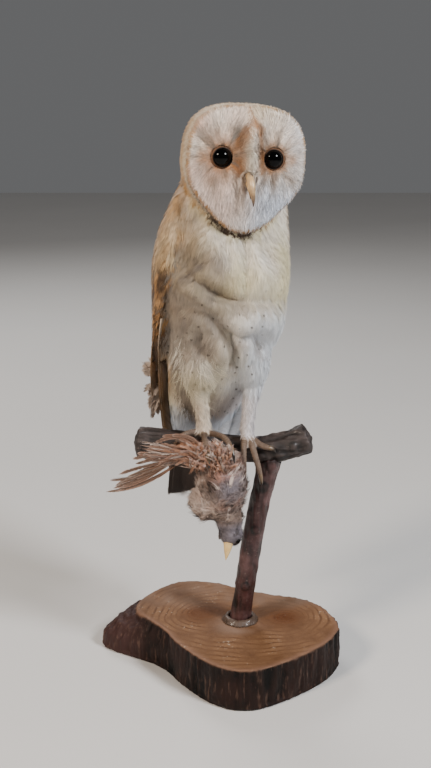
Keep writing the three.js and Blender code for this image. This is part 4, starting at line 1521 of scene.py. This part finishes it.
# %% [markdown]
# ## The finch
#
# The small bird hangs head down from the talons, dried and ruffled, with one wing pulled open. A few egg
# shapes are poured together for its body, and its plumage grows in the owl's way but strays much more. The
# open wing is made of separate quills.

# %% Body of the finch
# The egg shapes: where the middle of each is, and its half-sizes, in mm.
FINCH_MASSES = [
    ((2, -24, 167), (20, 13.5, 32)),
    ((-10, -21, 153), (13, 11, 17)),
    ((-8, -22, 190), (17, 11, 12)),
    ((8, -24, 139), (11, 10.5, 16)),
    ((9.5, -25, 126.5), (9.7, 8.8, 11)),
    ((-24, -20, 194), (12, 5, 9)),
    ((-38, -20, 188), (11, 3, 5)),
]
UPWARD = np.array([0.0, 0.0, 1.0])
egg = dome(np.zeros(3), 1.0, UPWARD, 16, 20)
egg_faces = np.concatenate([egg["quads"][:, [0, 1, 2]], egg["quads"][:, [0, 2, 3]], egg["tris"]])
finch_points = np.concatenate([egg["points"] * half + at for at, half in FINCH_MASSES])
finch_faces = np.concatenate([egg_faces + k * len(egg["points"]) for k in range(len(FINCH_MASSES))])
finch_skin = remeshed("finch_skin", finch_points, finch_faces, 1.1)
finch_points = smoothed(points_of(finch_skin), edges_of(finch_skin), 6)
finch_points = finch_points + normals_of(finch_skin) * (0.7 * noise(finch_points, 7, 51) - 0.6)[:, None]
move_points(finch_skin, finch_points)
finch_triangles = triangles_of(finch_skin)


def ovals(points, rows):
    """How strong soft oval patches are at each place."""
    x, _, z = points.T
    return sum(strength * bell(x, left, wide) * bell(z, up, high) for left, up, wide, high, strength in rows)


# Orange, pale and dark patches: where their middle is (x, z), how wide and high they are, and how strong.
ORANGE_PATCHES = [
    (-20, 195, 10, 10, 1), (-5, 197, 8, 6, 0.9), (1, 184, 7, 8, 0.6), (6, 178, 5, 6, 0.6),
    (-5, 173, 6, 6, 0.6), (14, 190, 6, 10, 0.4), (0, 151, 9, 3, 0.6),
]
PALE_PATCHES = [
    (-41, 188, 4, 8, 1.0), (-21, 170, 9, 12, 0.9), (-11, 150, 12, 7, 0.7), (8, 195, 3, 4, 0.6),
    (9, 181, 3, 3, 0.6),
]
DARK_PATCHES = [(-6, 168, 6, 8, 0.7), (4, 153, 8, 4, 0.5), (15, 121, 5, 4, 0.7), (3, 128, 4, 8, 0.35)]


def finch_marks(points, region):
    """(orange, grey, pale, dark) for each place on the finch."""
    z = points[:, 2]
    fleck = noise(points, 2.4, 61)
    grey = most(ovals(points, [(8, 168, 11, 15, 1)]), ramp(-z, -142, -130)) * 0.8
    orange = ovals(points, ORANGE_PATCHES) * (1 + 0.9 * fleck)
    orange = orange + 0.35 * ramp(noise(points, 4, 64), 0.2, 0.6) * (z > 150)
    pale = ovals(points, PALE_PATCHES) + 0.9 * ramp(fleck, 0.35, 0.65) * (z > 140)
    dark = ovals(points, DARK_PATCHES) + 0.65 * ramp(noise(points, 3.1, 62), 0.25, 0.6)
    return columns(orange, grey, pale, dark).clip(0, 1)


def finch_lie(points, region):
    x, _, z = points.T
    from_middle = points - [2.0, -20.0, 0.0]
    from_middle[:, 2] = 0
    droop = noise(points, 12, 63) + 0.6 * noise(points, 5, 65)
    swirl = columns(noise(points, 5, 66), 0, 0)
    way = unit(from_middle) * 0.7 + UPWARD * (0.7 + 0.9 * droop)[:, None] + 1.1 * swirl
    head = ramp(-z, -142, -134)[:, None]
    way = way * (1 - head) + (UPWARD + 0.25 * unit(from_middle)) * head
    wing = ramp(-x, 16, 24)[:, None]
    return unit(way * (1 - wing) + wing * [-1.0, 0.0, -0.3])


def flatten_finch(points):
    turn = np.arctan2(points[:, 0] - 4, -(points[:, 1] + 22))
    return columns(0.5 + turn / (2 * np.pi) * 0.95, 0.03 + (points[:, 2] - 105) / 125)


finch_regions = np.zeros(len(finch_triangles), int)
finch_normals = normals_of(finch_skin)
finch_surface = surface_of(
    finch_points, finch_normals, finch_triangles, finch_regions, finch_lie, flatten_finch
)
give(finch_skin, "tint", finch_marks(finch_points, None))
FINCH_NECK = 138  # its head hangs below this height, with short close feathers


def by_part(on_head, on_body):
    return lambda points: np.where(points[:, 2] < FINCH_NECK, on_head, on_body)


FINCH_STYLE = dict(
    each=dict(
        length=by_part(4.5, 9.5),
        wide=by_part(0.9, 2.2),
        lift=lambda points: by_part(0.7, 3.6 + 2.2 * noise(points, 5, 67))(points),
    ),
    barbs=7, steps=3, ragged=0.6, ruffle=2.0, stray=0.6, hug=0.55, roll=0.6, gloss=0.7, overlap=0.8,
    streaks=2.4, fields=dict(tint=finch_marks),
)
rng = np.random.default_rng(301)
everywhere = np.arange(len(finch_triangles))
places, faces = scatter(finch_points, finch_triangles, everywhere, by_part(1.1, 1.9), rng)
finch_coat = grow("finch_coat", finch_surface, places, faces, FINCH_STYLE, rng)

# %% Wings, tufts, bill and eye of the finch
# Each quill of the open wing: where it starts and ends (x, z), how far it bows, and its half-width.
WING_QUILLS = [
    ((-36, 184), (-85, 160.5), 3, 2.6), ((-36, 185.5), (-85.5, 164.5), 3, 2.8),
    ((-36, 187), (-83, 168.5), 2.5, 2.8), ((-35, 187), (-82, 171), 2, 2.8),
    ((-34, 188), (-81, 173), 1.5, 2.8), ((-33, 188.5), (-79, 175), 1, 2.4),
    ((-32, 192), (-68, 188), 0, 2.6), ((-30, 193), (-66, 190), 0, 2.6),
    ((-27, 195), (-63, 192.5), 0, 2.6), ((-25, 196), (-61.5, 194.5), -1, 2.4),
    ((-23, 198), (-58, 199), -2, 2.4), ((-20, 200), (-51, 204), -3, 2.4),
    ((-17, 202), (-45, 208), -3, 2.2),
]
FAR_WING_QUILLS = [((-1, 148), (0.5, 117), 1.5, 2.0), ((1, 148), (3.5, 121), 1, 1.8)]


def finch_quill_marks(across, along, luck):
    core = 1 - ramp(np.abs(across), 0.2, 0.8)
    base = ramp(-along, -0.24, -0.14)
    edge = (0.2 + 0.5 * luck) * ramp(np.abs(across), 0.6, 1)
    pale = edge + 0.9 * base * (luck > 0.4) + 0.3 * ramp(along, 0.9, 1)
    return columns(0.55 * (1 - core) * (1 - luck), 0, pale.clip(0, 1), (0.5 + 0.4 * luck) * core * (1 - base))


def dark_quill_marks(across, along, luck):
    return columns(0, 0.3, 0, 0.9 - 0.25 * ramp(np.abs(across), 0.7, 1))


def tuft_marks(across, along, luck):
    orange = 0.8 * ramp(luck, 0.2, 0.5) * (1 - 0.4 * along)
    pale = 0.5 * ramp(-luck, -0.35, -0.1) + 0.25 * along**2
    dark = 0.55 * (1 - along) + 0.3 * bell(across, 0, 0.4)
    return columns(orange, 0.4 * ramp(luck, 0.8, 0.9), pale, dark)


def flat_quill(start, end, bow, wide, depth, marks, barbs):
    share = np.linspace(0, 1, 16)[:, None]
    start, end = np.array(start, float), np.array(end, float)
    run = (end - start) / np.linalg.norm(end - start)
    flat = start + (end - start) * share + np.array([-run[1], run[0]]) * bow * np.sin(np.pi * share)
    line = columns(flat[:, 0], depth - 1.5 * share[:, 0] + rng.normal(0, 0.3), flat[:, 1])
    toward = unit([0.25 * rng.standard_normal(), -1.0, 0.25 * rng.standard_normal()])
    up = np.tile(toward, (16, 1))
    across = unit(np.cross(up, unit(np.gradient(line, axis=0))))
    sizes = (wide, wide * 1.15)
    return vane(line, across, up, sizes, marks, rng, barbs=barbs, gaps=1.6, shaft=0.3, blunt=0.18)


TUFT_DOWN = dict(marks=tuft_marks, wash=(0, 0, 0), barbs=14, gaps=7, sweep=1.6)
rng = np.random.default_rng(302)
parts = []
for k, (start, end, bow, wide) in enumerate(WING_QUILLS * 2):
    start = start + rng.normal(0, 1.5, 2)
    end = end + rng.normal(0, 2.2, 2) + np.array([3.0, -0.6]) * (k % 3)
    size = wide * rng.uniform(0.45, 0.75)
    depth = -19 - 0.4 * (k % len(WING_QUILLS))
    parts.append(flat_quill(start, end, bow + rng.normal(0, 1.5), size, depth, finch_quill_marks, 40))
parts += [flat_quill(*row, -13 - 0.4 * k, dark_quill_marks, 36) for k, row in enumerate(FAR_WING_QUILLS)]
for k in range(260):
    on_wing = k % 3 == 0
    x, y = rng.uniform(*((-36, -20) if on_wing else (-24, 10))), -33 - rng.uniform(0, 4)
    start = np.array([x, y, rng.uniform(193 if on_wing else 180, 201)])
    if on_wing:
        reach = [-rng.uniform(9, 24), -1.0, rng.uniform(-6, 6)]
    else:
        reach = [rng.normal(-2, 6), -1.5, rng.uniform(3, 11)]
    end = start + reach
    middle = (start + end) / 2 + [0, -1.2, 0.8]
    parts.append(plume([start, middle, end], (0, -1, 0.2), rng.uniform(0.5, 1.5), **TUFT_DOWN))
finch_quills = feather_set("finch_quills", parts)

rows = spline([(7.2, -29, 120, 4.0), (6.2, -30.7, 113, 2.6), (5.2, -31.8, 105.6, 0.25)], 16)
bill_halves = []
for shift, size in ((1.1, 0.85), (-1.0, 0.7)):
    line = rows[:, :3] + (1 - np.linspace(0, 1, 16)[:, None]) * [shift, 0, 0]
    bill_halves.append(tube(line, rows[:, 3] * size, 14, upright=(0, 1, 0)))
finch_bill = pour("finch_bill", bill_halves)
finch_eye = pour("finch_eye", [dome([15.0, -30.6, 122.0], 2.0, unit([0.5, -1.0, -0.2]), 14, 20)])

# %% [markdown]
# ## Branch, slab and glue
#
# The stand is a slice of log with a branch glued into it. The bark is pushed in and out for furrows along
# its grain. On the cut face two sets of year rings close round two piths, because the slice was cut where a
# trunk forks. The product of the distances to both piths gives just such a pair.

# %% Bark in relief
def refined(name, node, voxel, rounds):
    """A fine even copy of one node, smoothed in so many rounds, and its points."""
    points, triangles, _ = node_solid([node])
    piece = remeshed(name, points, triangles, voxel)
    points = smoothed(points_of(piece), edges_of(piece), rounds)
    move_points(piece, points)
    return piece, points


def barked(name, node, voxel, squeeze, seeds, deep, knots=()):
    """A refined copy of a node with a furrowed surface. squeeze shortens places along the grain.

    A knot is a place, its size and how far it swells, or sinks where that is less than 0.
    """
    piece, points = refined(name, node, voxel, 5)
    grain = points * squeeze
    coarse = 1 - 2 * np.abs(noise(grain, 4.4, seeds))
    relief = 0.55 * coarse + 0.35 * noise(grain, 1.8, seeds + 1) + 0.3 * noise(points, 9, seeds + 2)
    rise = deep * (relief - 0.4)
    for place, size, swell in knots:
        gap = np.linalg.norm(points - place, axis=1)
        rise = rise + swell * bell(gap, 0, size)
        relief = relief - 0.7 * bell(gap, 0.8 * size, 0.25 * size)
    points = points + normals_of(piece) * rise[:, None]
    move_points(piece, points)
    give(piece, "relief", relief)
    return piece


ALONG_GRAIN = 0.22  # places are squeezed so along the grain, which draws the noise out into furrows
POST_KNOTS = [
    ((36, -4, 158), 5, 1.6), ((30, -3, 120), 4, 1.2), ((43, -3, 176), 6, 2.2), ((22, -4, 70), 4, 1.0),
]
PERCH_KNOTS = [
    ((49, -6, 187), 6.5, 2.6), ((60, -5, 193), 4.5, 1.8), ((34, -6, 185), 5, 1.6), ((66, -6, 190), 3, -1.4),
    ((-58, -3, 190), 6, 1.6), ((44, -7, 181), 3.5, -1.6),
]
post = barked("branch_post_bark", "branch_post", 0.8, (1, 1, ALONG_GRAIN), 401, 1.0, POST_KNOTS)
perch = barked("branch_perch_bark", "branch_perch", 0.9, (0.25, 1, 1), 411, 1.5, PERCH_KNOTS)

# %% Slab and glue
PITHS = [[-16.4, 17.5], [57.4, 9.9]]
POST_FOOT = [15, -4]
slab, points = refined("base_slab_wood", "base_slab", 1.25, 3)
slab_edges, normals = edges_of(slab), normals_of(slab)
level = np.where((normals[:, 2] > 0.8) & (points[:, 2] > 33), 1.0, 0.0)
flat_under = np.where(points[:, 2] < 2.0, 1.0, 0.0)
cut_face = smoothed(level, slab_edges, 2)
rim = smoothed(level, slab_edges, 45)
upright = points * [1, 1, ALONG_GRAIN]
furrows = 1 - 2.2 * np.abs(noise(upright, 6.5, 421))
relief = 0.9 * furrows + 0.55 * noise(upright, 2.6, 422) + 0.6 * noise(points, 15, 423)
relief = relief + 0.2 * noise(points, 1.8, 424)
edge_bark = (1 - cut_face) * (1 - flat_under) * ramp(points[:, 2], 0.5, 4)
saw = 0.12 * noise(points, 6, 425) + 0.07 * noise(points, 2.2, 426)
points = points + normals * (edge_bark * (1.2 * relief - 1.0) + cut_face * saw)[:, None]
points[:, 2] = np.where(flat_under > 0, points[:, 2].clip(0, None), points[:, 2])
move_points(slab, points)
apart = np.linalg.norm(points[:, None, :2] - PITHS, axis=2)
rings = np.sqrt(apart.prod(axis=1)) + 3.2 * noise(points, 26, 427) + 1.1 * noise(points, 9, 428)
by_post = np.linalg.norm(points[:, :2] - POST_FOOT, axis=1)
dusty = 0.75 * bell(by_post, 8, 11) + 0.5 * ramp(points[:, 1], 18, 44)
dusty = (dusty * (0.7 + 0.6 * noise(points, 9, 429))).clip(0, 1)
frayed = ramp(-points[:, 0], 58, 82)
FIELDS = dict(relief=relief, cut_face=cut_face, rim=rim, rings=rings, dusty=dusty, frayed=frayed)
for field, values in FIELDS.items():
    give(slab, field, values)

glue, points = refined("glue_collar", "putty_collar", 0.55, 4)
swell = 0.5 * noise(points, 4, 431) + 0.25 * noise(points, 1.6, 432)
move_points(glue, points + normals_of(glue) * swell[:, None])
print("stand: post, perch, slab and glue")

# %% [markdown]
# ## Materials
#
# One small function adds a node, sets it and feeds it, so that a material reads as a list of what is done
# to its colour. A feed may be another node's socket, a number or a colour.

# %% Colours and one node function
def linear(code):
    """An sRGB hex colour as the linear colour that Blender works in."""
    channels = [int(code[i : i + 2], 16) / 255 for i in (1, 3, 5)]
    return tuple(c / 12.92 if c <= 0.04045 else ((c + 0.055) / 1.055) ** 2.4 for c in channels) + (1.0,)


def add(tree, kind, settings=None, feeds=None, out=None):
    """A new node. settings are its properties, feeds go into its sockets, out picks one of its outputs."""
    node = tree.nodes.new("ShaderNode" + kind)
    for key, value in (settings or {}).items():
        setattr(node, key, value)
    for key, source in (feeds or {}).items():
        if isinstance(source, bpy.types.NodeSocket):
            tree.links.new(source, node.inputs[key])
        else:
            node.inputs[key].default_value = linear(source) if isinstance(source, str) else source
    return node if out is None else node.outputs[out]


def patches(place, size, **more):
    """What a texture is fed for patches `size` mm across. Its Scale is how many of them go into a metre."""
    return {"Vector": place, "Scale": 1 / (size * MM), **more}


BLEND = {"data_type": "RGBA"}
MULTIPLY = {"data_type": "RGBA", "blend_type": "MULTIPLY"}


def new_material(name):
    """An empty material, its node tree, and the places on the object that its patterns are hung on."""
    material = bpy.data.materials.new(name)
    material.use_nodes = True
    tree = material.node_tree
    tree.nodes.clear()
    return material, tree, add(tree, "TexCoord", out="Object")


def cover(tree, colour, rough, sockets=None, height=None, deep=0.0):
    """The end of a material: its shader, with bumps `deep` mm high where height is given."""
    feeds = {"Base Color": colour, "Roughness": rough, **(sockets or {})}
    if height is not None:
        bump = {"Strength": 1.0, "Distance": deep * MM, "Height": height}
        feeds["Normal"] = add(tree, "Bump", feeds=bump, out=0)
    add(tree, "OutputMaterial", feeds={"Surface": add(tree, "BsdfPrincipled", feeds=feeds, out=0)})


# %% [markdown]
# ### Plumage
#
# Feather is keratin, the stuff of nails, drawn out into barbs thinner than a hair. It scatters light
# softly, so it is rough, with no mirror shine. The colour starts from two shades of one ground and takes on
# the pigments by each feather's own markings. Feathers and their strips differ in brightness at random, and
# each feather is painted darker towards its root, as shade under the feathers that lie over it.

# %% Feather materials
OWL_COLOURS = [("#F1EBE0", "#E6DCCC"), ("#CBA065", "#9C6F3D"), ("#A5662E",), ("#80766C",), ("#2E2018",)]
# The wash colours: cream, the cool blue of painted key light, and pink that is partly painted warm fill
# light.
WASH_COLOURS = ("#DDD2AC", "#D3DCE8", "#E2BDAB")
FINCH_COLOURS = [("#8A7669", "#705C50"), ("#C98A62", "#B5744E"), ("#85808A",), ("#DDCABF",), ("#2E231C",)]


def feather_material(name, colours, on_skin=False):
    """colours are the ground, then the pigment of each marking. A pair is mixed in fine patches."""
    material, tree, place = new_material(name)
    tint = add(tree, "Attribute", {"attribute_name": "tint"})
    parts = add(tree, "SeparateColor", feeds={"Color": tint.outputs["Color"]})
    wash = add(tree, "Attribute", {"attribute_name": "wash"}, out="Vector")
    casts = add(tree, "SeparateXYZ", feeds={0: wash})
    root = place if on_skin else add(tree, "Attribute", {"attribute_name": "root"}, out="Vector")
    fine = add(tree, "TexNoise", feeds=patches(root, 3.846, Detail=3.0), out=0)
    colour, *inks = [add(tree, "Mix", BLEND, {0: fine, 6: pair[0], 7: pair[-1]}, 2) for pair in colours]
    strengths = [*casts.outputs, *parts.outputs, tint.outputs["Alpha"]]
    for strength, ink in zip(strengths, [*WASH_COLOURS, *inks]):
        colour = add(tree, "Mix", BLEND, {0: strength, 6: colour, 7: ink}, 2)
    if not on_skin:
        vane_facts = add(tree, "Attribute", {"attribute_name": "vane"}, out="Vector")
        _, along, luck = add(tree, "SeparateXYZ", feeds={0: vane_facts}).outputs
        strand = add(tree, "Attribute", {"attribute_name": "strand"}, out="Fac")
        # Random tone for each feather and each strip, and painted shade that darkens each strip towards its
        # root.
        tone_and_root_shade = 1.0
        for source, spread, low in ((luck, 0.12, 0.92), (strand, 0.2, 0.86), (along, 0.16, 0.88)):
            part = add(tree, "Math", {"operation": "MULTIPLY_ADD"}, {0: source, 1: spread, 2: low}, 0)
            tone_and_root_shade = add(tree, "Math", {"operation": "MULTIPLY"}, {0: tone_and_root_shade, 1: part}, 0)
        shade = add(tree, "CombineColor", feeds={0: tone_and_root_shade, 1: tone_and_root_shade, 2: tone_and_root_shade}, out=0)
        colour = add(tree, "Mix", MULTIPLY, {0: 1.0, 6: colour, 7: shade}, 2)
        spotted = add(tree, "Attribute", {"attribute_name": "spotted"}, out="Fac")
        cells = add(tree, "TexVoronoi", feeds=patches(place, 7.41), out=0)
        spot = add(tree, "MapRange", feeds={0: cells, 1: 0.17, 2: 0.11}, out=0)
        spot = add(tree, "Math", {"operation": "MULTIPLY"}, {0: spot, 1: spotted}, 0)
        colour = add(tree, "Mix", BLEND, {0: spot, 6: colour, 7: "#463C34"}, 2)
    cover(tree, colour, 0.7, {"IOR": 1.54, "Specular IOR Level": 0.3, "Sheen Weight": 0.12})
    return material


owl_feather = feather_material("owl_feather_barbs", OWL_COLOURS)
owl_hide = feather_material("owl_skin_under_down", OWL_COLOURS, on_skin=True)
finch_feather = feather_material("finch_feather_barbs", FINCH_COLOURS)
finch_hide = feather_material("finch_skin_under_down", FINCH_COLOURS, on_skin=True)

# %% [markdown]
# ### Glass, skin and horn
#
# Blown glass is smooth and clear over a nearly black iris, so the eye mirrors the lamps and little else.
# Bare skin is dull and wrinkled. Horn is smooth with fine growth lines, and darkens towards its tip.

# %% Eyes, lids, bill, claws and toes
eye_glass, tree, place = new_material("blown_glass_eye")
radial = add(tree, "Attribute", {"attribute_name": "radial"}, out="Fac")
streak = add(tree, "TexNoise", feeds=patches(place, 1.11, Detail=2.0), out=0)
iris = add(tree, "Mix", BLEND, {0: streak, 6: "#060404", 7: "#0E0906"}, 2)
inside = add(tree, "MapRange", feeds={0: radial, 1: 0.5, 2: 0.62}, out=0)
colour = add(tree, "Mix", BLEND, {0: inside, 6: "#020202", 7: iris}, 2)
cover(tree, colour, 0.03, {"IOR": 1.5, "Specular IOR Level": 0.12})

lid_skin, tree, place = new_material("eyelid_bare_skin")
wrinkle = add(tree, "TexNoise", feeds=patches(place, 0.91, Detail=4.0), out=0)
colour = add(tree, "Mix", BLEND, {0: wrinkle, 6: "#050303", 7: "#0F0906"}, 2)
outer = add(tree, "Attribute", {"attribute_name": "pale"}, out="Fac")
bare = add(tree, "Mix", BLEND, {0: wrinkle, 6: "#8C684E", 7: "#5C3E2A"}, 2)
colour = add(tree, "Mix", BLEND, {0: outer, 6: colour, 7: bare}, 2)
cover(tree, colour, 0.6, {"Specular IOR Level": 0.2}, wrinkle, 0.1)


def horn(name, pale, mid, dark, start, end, rough):
    material, tree, place = new_material(name)
    reach = add(tree, "Attribute", {"attribute_name": "reach"}, out="Fac")
    layer = add(tree, "TexNoise", feeds=patches(place, 3.333, Detail=4.0), out=0)
    wavy = add(tree, "Math", {"operation": "MULTIPLY_ADD"}, {0: layer, 1: 0.35, 2: reach}, 0)
    old = add(tree, "MapRange", feeds={0: wavy, 1: start, 2: end}, out=0)
    ground = add(tree, "Mix", BLEND, {0: layer, 6: pale, 7: mid}, 2)
    colour = add(tree, "Mix", BLEND, {0: old, 6: ground, 7: dark}, 2)
    cover(tree, colour, rough, {"IOR": 1.55, "Coat Weight": 0.15, "Coat Roughness": 0.2}, layer, 0.08)
    return material


bill_horn = horn("bill_horn_sheath", "#DCC398", "#AE8354", "#3A2216", 0.62, 1.04, 0.36)
claw_horn = horn("claw_horn_sheath", "#8C7353", "#5B4733", "#1E1712", 0.35, 0.8, 0.3)
finch_horn = horn("finch_bill_horn", "#E2C489", "#C9A25E", "#6B5230", 1.3, 1.5, 0.35)

toe_skin, tree, place = new_material("toe_scaly_skin")
scale = add(tree, "TexVoronoi", feeds=patches(place, 1.11), out=0)
mottle = add(tree, "TexNoise", feeds=patches(place, 4.167, Detail=4.0), out=0)
colour = add(tree, "Mix", BLEND, {0: mottle, 6: "#86705F", 7: "#483A30"}, 2)
cover(tree, colour, 0.6, {"IOR": 1.45}, scale, 0.35)

# %% [markdown]
# ### Wood, bark and glue
#
# The slab was sawn and varnished long ago and has dulled: its heartwood is orange brown, its outer wood
# pale, and each year ring is darker at its end. The bark is dark in its furrows and greyer where it is
# rubbed. The post is varnished, so it has a faint shine. Dust has dulled the collar of hot glue.

# %% Stand materials
RING_WIDTH = 6.4  # of a year ring, in mm. Finer ones would not show.
wood, tree, place = new_material("sawn_log_slab_varnished")
drawn = add(tree, "VectorMath", {"operation": "MULTIPLY"}, {0: place, 1: (1.0, 1.0, 0.16)}, 0)
textures = {}
for name, at, size, detail, rough in (
    ("cloud", place, 26.32, 6.0, 0.65), ("grit", place, 2.381, 4.0, 0.5), ("fibre", drawn, 3.03, 5.0, 0.6),
):
    textures[name] = add(tree, "TexNoise", feeds=patches(at, size, Detail=detail, Roughness=rough), out=0)
cloud, grit, fibre = textures.values()
facts = {name: add(tree, "Attribute", {"attribute_name": name}, out="Fac") for name in FIELDS}
wavy = add(tree, "Math", {"operation": "MULTIPLY_ADD"}, {0: cloud, 1: 5.0, 2: facts["rings"]}, 0)
beat = add(tree, "Math", {"operation": "MULTIPLY"}, {0: wavy, 1: 2 * math.pi / RING_WIDTH}, 0)
wave = add(tree, "Math", {"operation": "SINE"}, {0: beat}, 0)
# Each mark's source, the source's values where the mark starts and is full, and its strength at these two.
MARKS = {
    "mottle": (cloud, 0.35, 0.65),
    "heart": (facts["rings"], 46.0, 22.0),
    "stain": (cloud, 0.38, 0.56, 0.5, 1.0),
    "late_wood": (wave, 0.1, 1.0, 0.0, 0.8),
    "clear": (cloud, 0.42, 0.6, 0.06, 0.9),
    "outer": (facts["rim"], 0.93, 0.6, 0.0, 0.6),
    "chalk": (grit, 0.6, 0.68, 0.0, 0.6),
    "patch": (cloud, 0.52, 0.62),
    "ridges": (facts["relief"], -0.6, 1.1),
    "reddish": (cloud, 0.45, 0.65),
    "strands": (fibre, 0.56, 0.7, 0.0, 0.6),
}
marks = {name: add(tree, "MapRange", feeds=dict(enumerate(row)), out=0) for name, row in MARKS.items()}
for name, where in (("heart", "stain"), ("late_wood", "clear"), ("chalk", "patch")):
    marks[name] = add(tree, "Math", {"operation": "MULTIPLY"}, {0: marks[name], 1: marks[where]}, 0)
marks.update(facts)
colours = []
WOOD = dict(mottle="#7E5C40", heart="#522A06", late_wood="#442610", outer="#826250", dusty="#7E6656")
BARK = dict(ridges="#1E110C", reddish="#24130E", frayed="#3A2522", strands="#644C40")
for ground, layers in (("#5E4029", {**WOOD, "chalk": "#B7A792"}), ("#040201", BARK)):
    colour = ground
    for name, shade in layers.items():
        colour = add(tree, "Mix", BLEND, {0: marks[name], 6: colour, 7: shade}, 2)
    colours.append(colour)
cut_colour, bark_colour = colours
colour = add(tree, "Mix", BLEND, {0: facts["cut_face"], 6: bark_colour, 7: cut_colour}, 2)
cover(tree, colour, 0.62, {"IOR": 1.5, "Specular IOR Level": 0.2}, fibre, 0.4)


def bark_material(name, deep_colour, top_colour, rubbed, grain, shine):
    """grain is the size of the bark's grit in mm, shine the strength of its varnish."""
    material, tree, place = new_material(name)
    relief = add(tree, "Attribute", {"attribute_name": "relief"}, out="Fac")
    grit = add(tree, "TexNoise", feeds=patches(place, grain, Detail=6.0, Roughness=0.65), out=0)
    cloud = add(tree, "TexNoise", feeds=patches(place, 16.67, Detail=3.0), out=0)
    colour = deep_colour
    for source, start, full, strength, shade in (
        (relief, -0.5, 0.8, 1.0, top_colour),
        (cloud, 0.5, 0.68, 0.7, rubbed),
        (grit, 0.62, 0.72, 0.5, "#8C7C74"),
    ):
        mask = add(tree, "MapRange", feeds={0: source, 1: start, 2: full, 3: 0.0, 4: strength}, out=0)
        colour = add(tree, "Mix", BLEND, {0: mask, 6: colour, 7: shade}, 2)
    varnish = {"Specular IOR Level": 0.3, "Coat Weight": shine, "Coat Roughness": 0.2}
    cover(tree, colour, 0.55, varnish, grit, 0.5)
    return material


post_bark = bark_material("varnished_branch_bark", "#0D0504", "#3C1E1B", "#664846", 2.0, 0.35)
perch_bark = bark_material("weathered_branch_bark", "#120D0B", "#3C3330", "#524845", 2.381, 0.1)

glue_resin, tree, place = new_material("hot_melt_glue")
bubbles = add(tree, "TexNoise", feeds=patches(place, 2.857, Detail=3.0), out=0)
colour = add(tree, "Mix", BLEND, {0: bubbles, 6: "#5C4A3E", 7: "#3A2C22"}, 2)
cover(tree, colour, 0.55, {"IOR": 1.48, "Coat Weight": 0.1}, bubbles, 0.5)

# %% [markdown]
# ## Putting the pieces into the frame
#
# Every piece rides on the mount's one body and stands in for the plain solids that it was made over.

# %% Materials and replaced solids
def settle(piece, material, slot, *nodes):
    piece.data.materials.clear()
    piece.data.materials.append(material)
    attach(piece, "root")
    if nodes:
        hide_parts(*nodes)


settle(skin, owl_hide, "white_plumage", *FLESH)
for name, coat in coats.items():
    buff = name in ("crown", "back", *WINGS)
    settle(coat, owl_feather, "buff_plumage" if buff else "white_plumage")
for side in SIDES:
    settle(quills[side], owl_feather, "buff_plumage", "primaries_" + side)
    settle(eyes[side], eye_glass, "eye_glass", "eye_" + side)
for name, claw in claws.items():
    settle(claw, claw_horn, "claw_horn", "claw_" + name)
for row in (
    (tail_feathers, owl_feather, "buff_plumage", "tail"),
    (loose_plumes, owl_feather, "white_plumage"),
    (eyelids, lid_skin, "toe_skin"),
    (upper_bill, bill_horn, "horn", "bill_upper"),
    (lower_bill, bill_horn, "horn", "bill_lower"),
    (toe_scutes, toe_skin, "toe_skin"),
    (finch_skin, finch_hide, "finch_plumage", "finch"),
    (finch_coat, finch_feather, "finch_plumage"),
    (finch_quills, finch_feather, "finch_plumage"),
    (finch_bill, finch_horn, "horn"),
    (finch_eye, eye_glass, "eye_glass"),
    (post, post_bark, "bark", "branch_post"),
    (perch, perch_bark, "bark", "branch_perch"),
    (slab, wood, "sawn_wood", "base_slab"),
    (glue, glue_resin, "putty", "putty_collar"),
):
    settle(*row)

# %% [markdown]
# ## Floor, light and camera
#
# The mount stands on a plain pale floor under large soft lamps and a pale sky, as in a studio.

# %% Studio
bpy.ops.mesh.primitive_plane_add(size=8, location=(0, 0, -0.0005))
floor = bpy.context.object
floor.name = "studio_floor"
floor_paint, tree, place = new_material("painted_studio_floor")
grain = add(tree, "TexNoise", feeds=patches(place, 333.3), out=0)
cover(tree, add(tree, "Mix", BLEND, {0: grain, 6: "#CFCDCA", 7: "#D6D4D1"}, 2), 0.8)
floor.data.materials.append(floor_paint)


def area_light(name, place, size, power, colour="#FFFFFF"):
    data = bpy.data.lights.new(name, "AREA")
    data.shape = "DISK"
    data.size = size
    data.energy = power
    data.color = linear(colour)[:3]
    lamp = bpy.data.objects.new(name, data)
    lamp.location = place
    lamp.rotation_euler = (Vector((0, 0, 0.3)) - Vector(place)).to_track_quat("-Z", "Y").to_euler()
    bpy.context.scene.collection.objects.link(lamp)


area_light("key_softbox", (1.05, -0.85, 1.25), 0.42, 35, "#FBFCFF")
area_light("fill_softbox", (-1.15, -1.1, 1.3), 0.45, 32, "#FFEEDC")
area_light("rim_softbox", (-0.6, 1.5, 1.4), 0.8, 16)
world = bpy.data.worlds.new("pale_studio")
world.use_nodes = True
world.node_tree.nodes["Background"].inputs[0].default_value = linear("#D9DADC")
world.node_tree.nodes["Background"].inputs[1].default_value = 0.19
bpy.context.scene.world = world

# %% Camera
IMAGE_HEIGHT = 768
FOCAL_PIXELS = 1158
SENSOR = 36
LOOKS_DOWN = 15.04  # degrees
camera_data = bpy.data.cameras.new("camera")
camera_data.sensor_width = SENSOR
camera_data.lens = SENSOR * FOCAL_PIXELS / IMAGE_HEIGHT
camera = bpy.data.objects.new("camera", camera_data)
camera.location = (-0.003, -0.896, 0.485)
camera.rotation_euler = (math.radians(90 - LOOKS_DOWN), 0, 0)
bpy.context.scene.collection.objects.link(camera)
bpy.context.scene.camera = camera
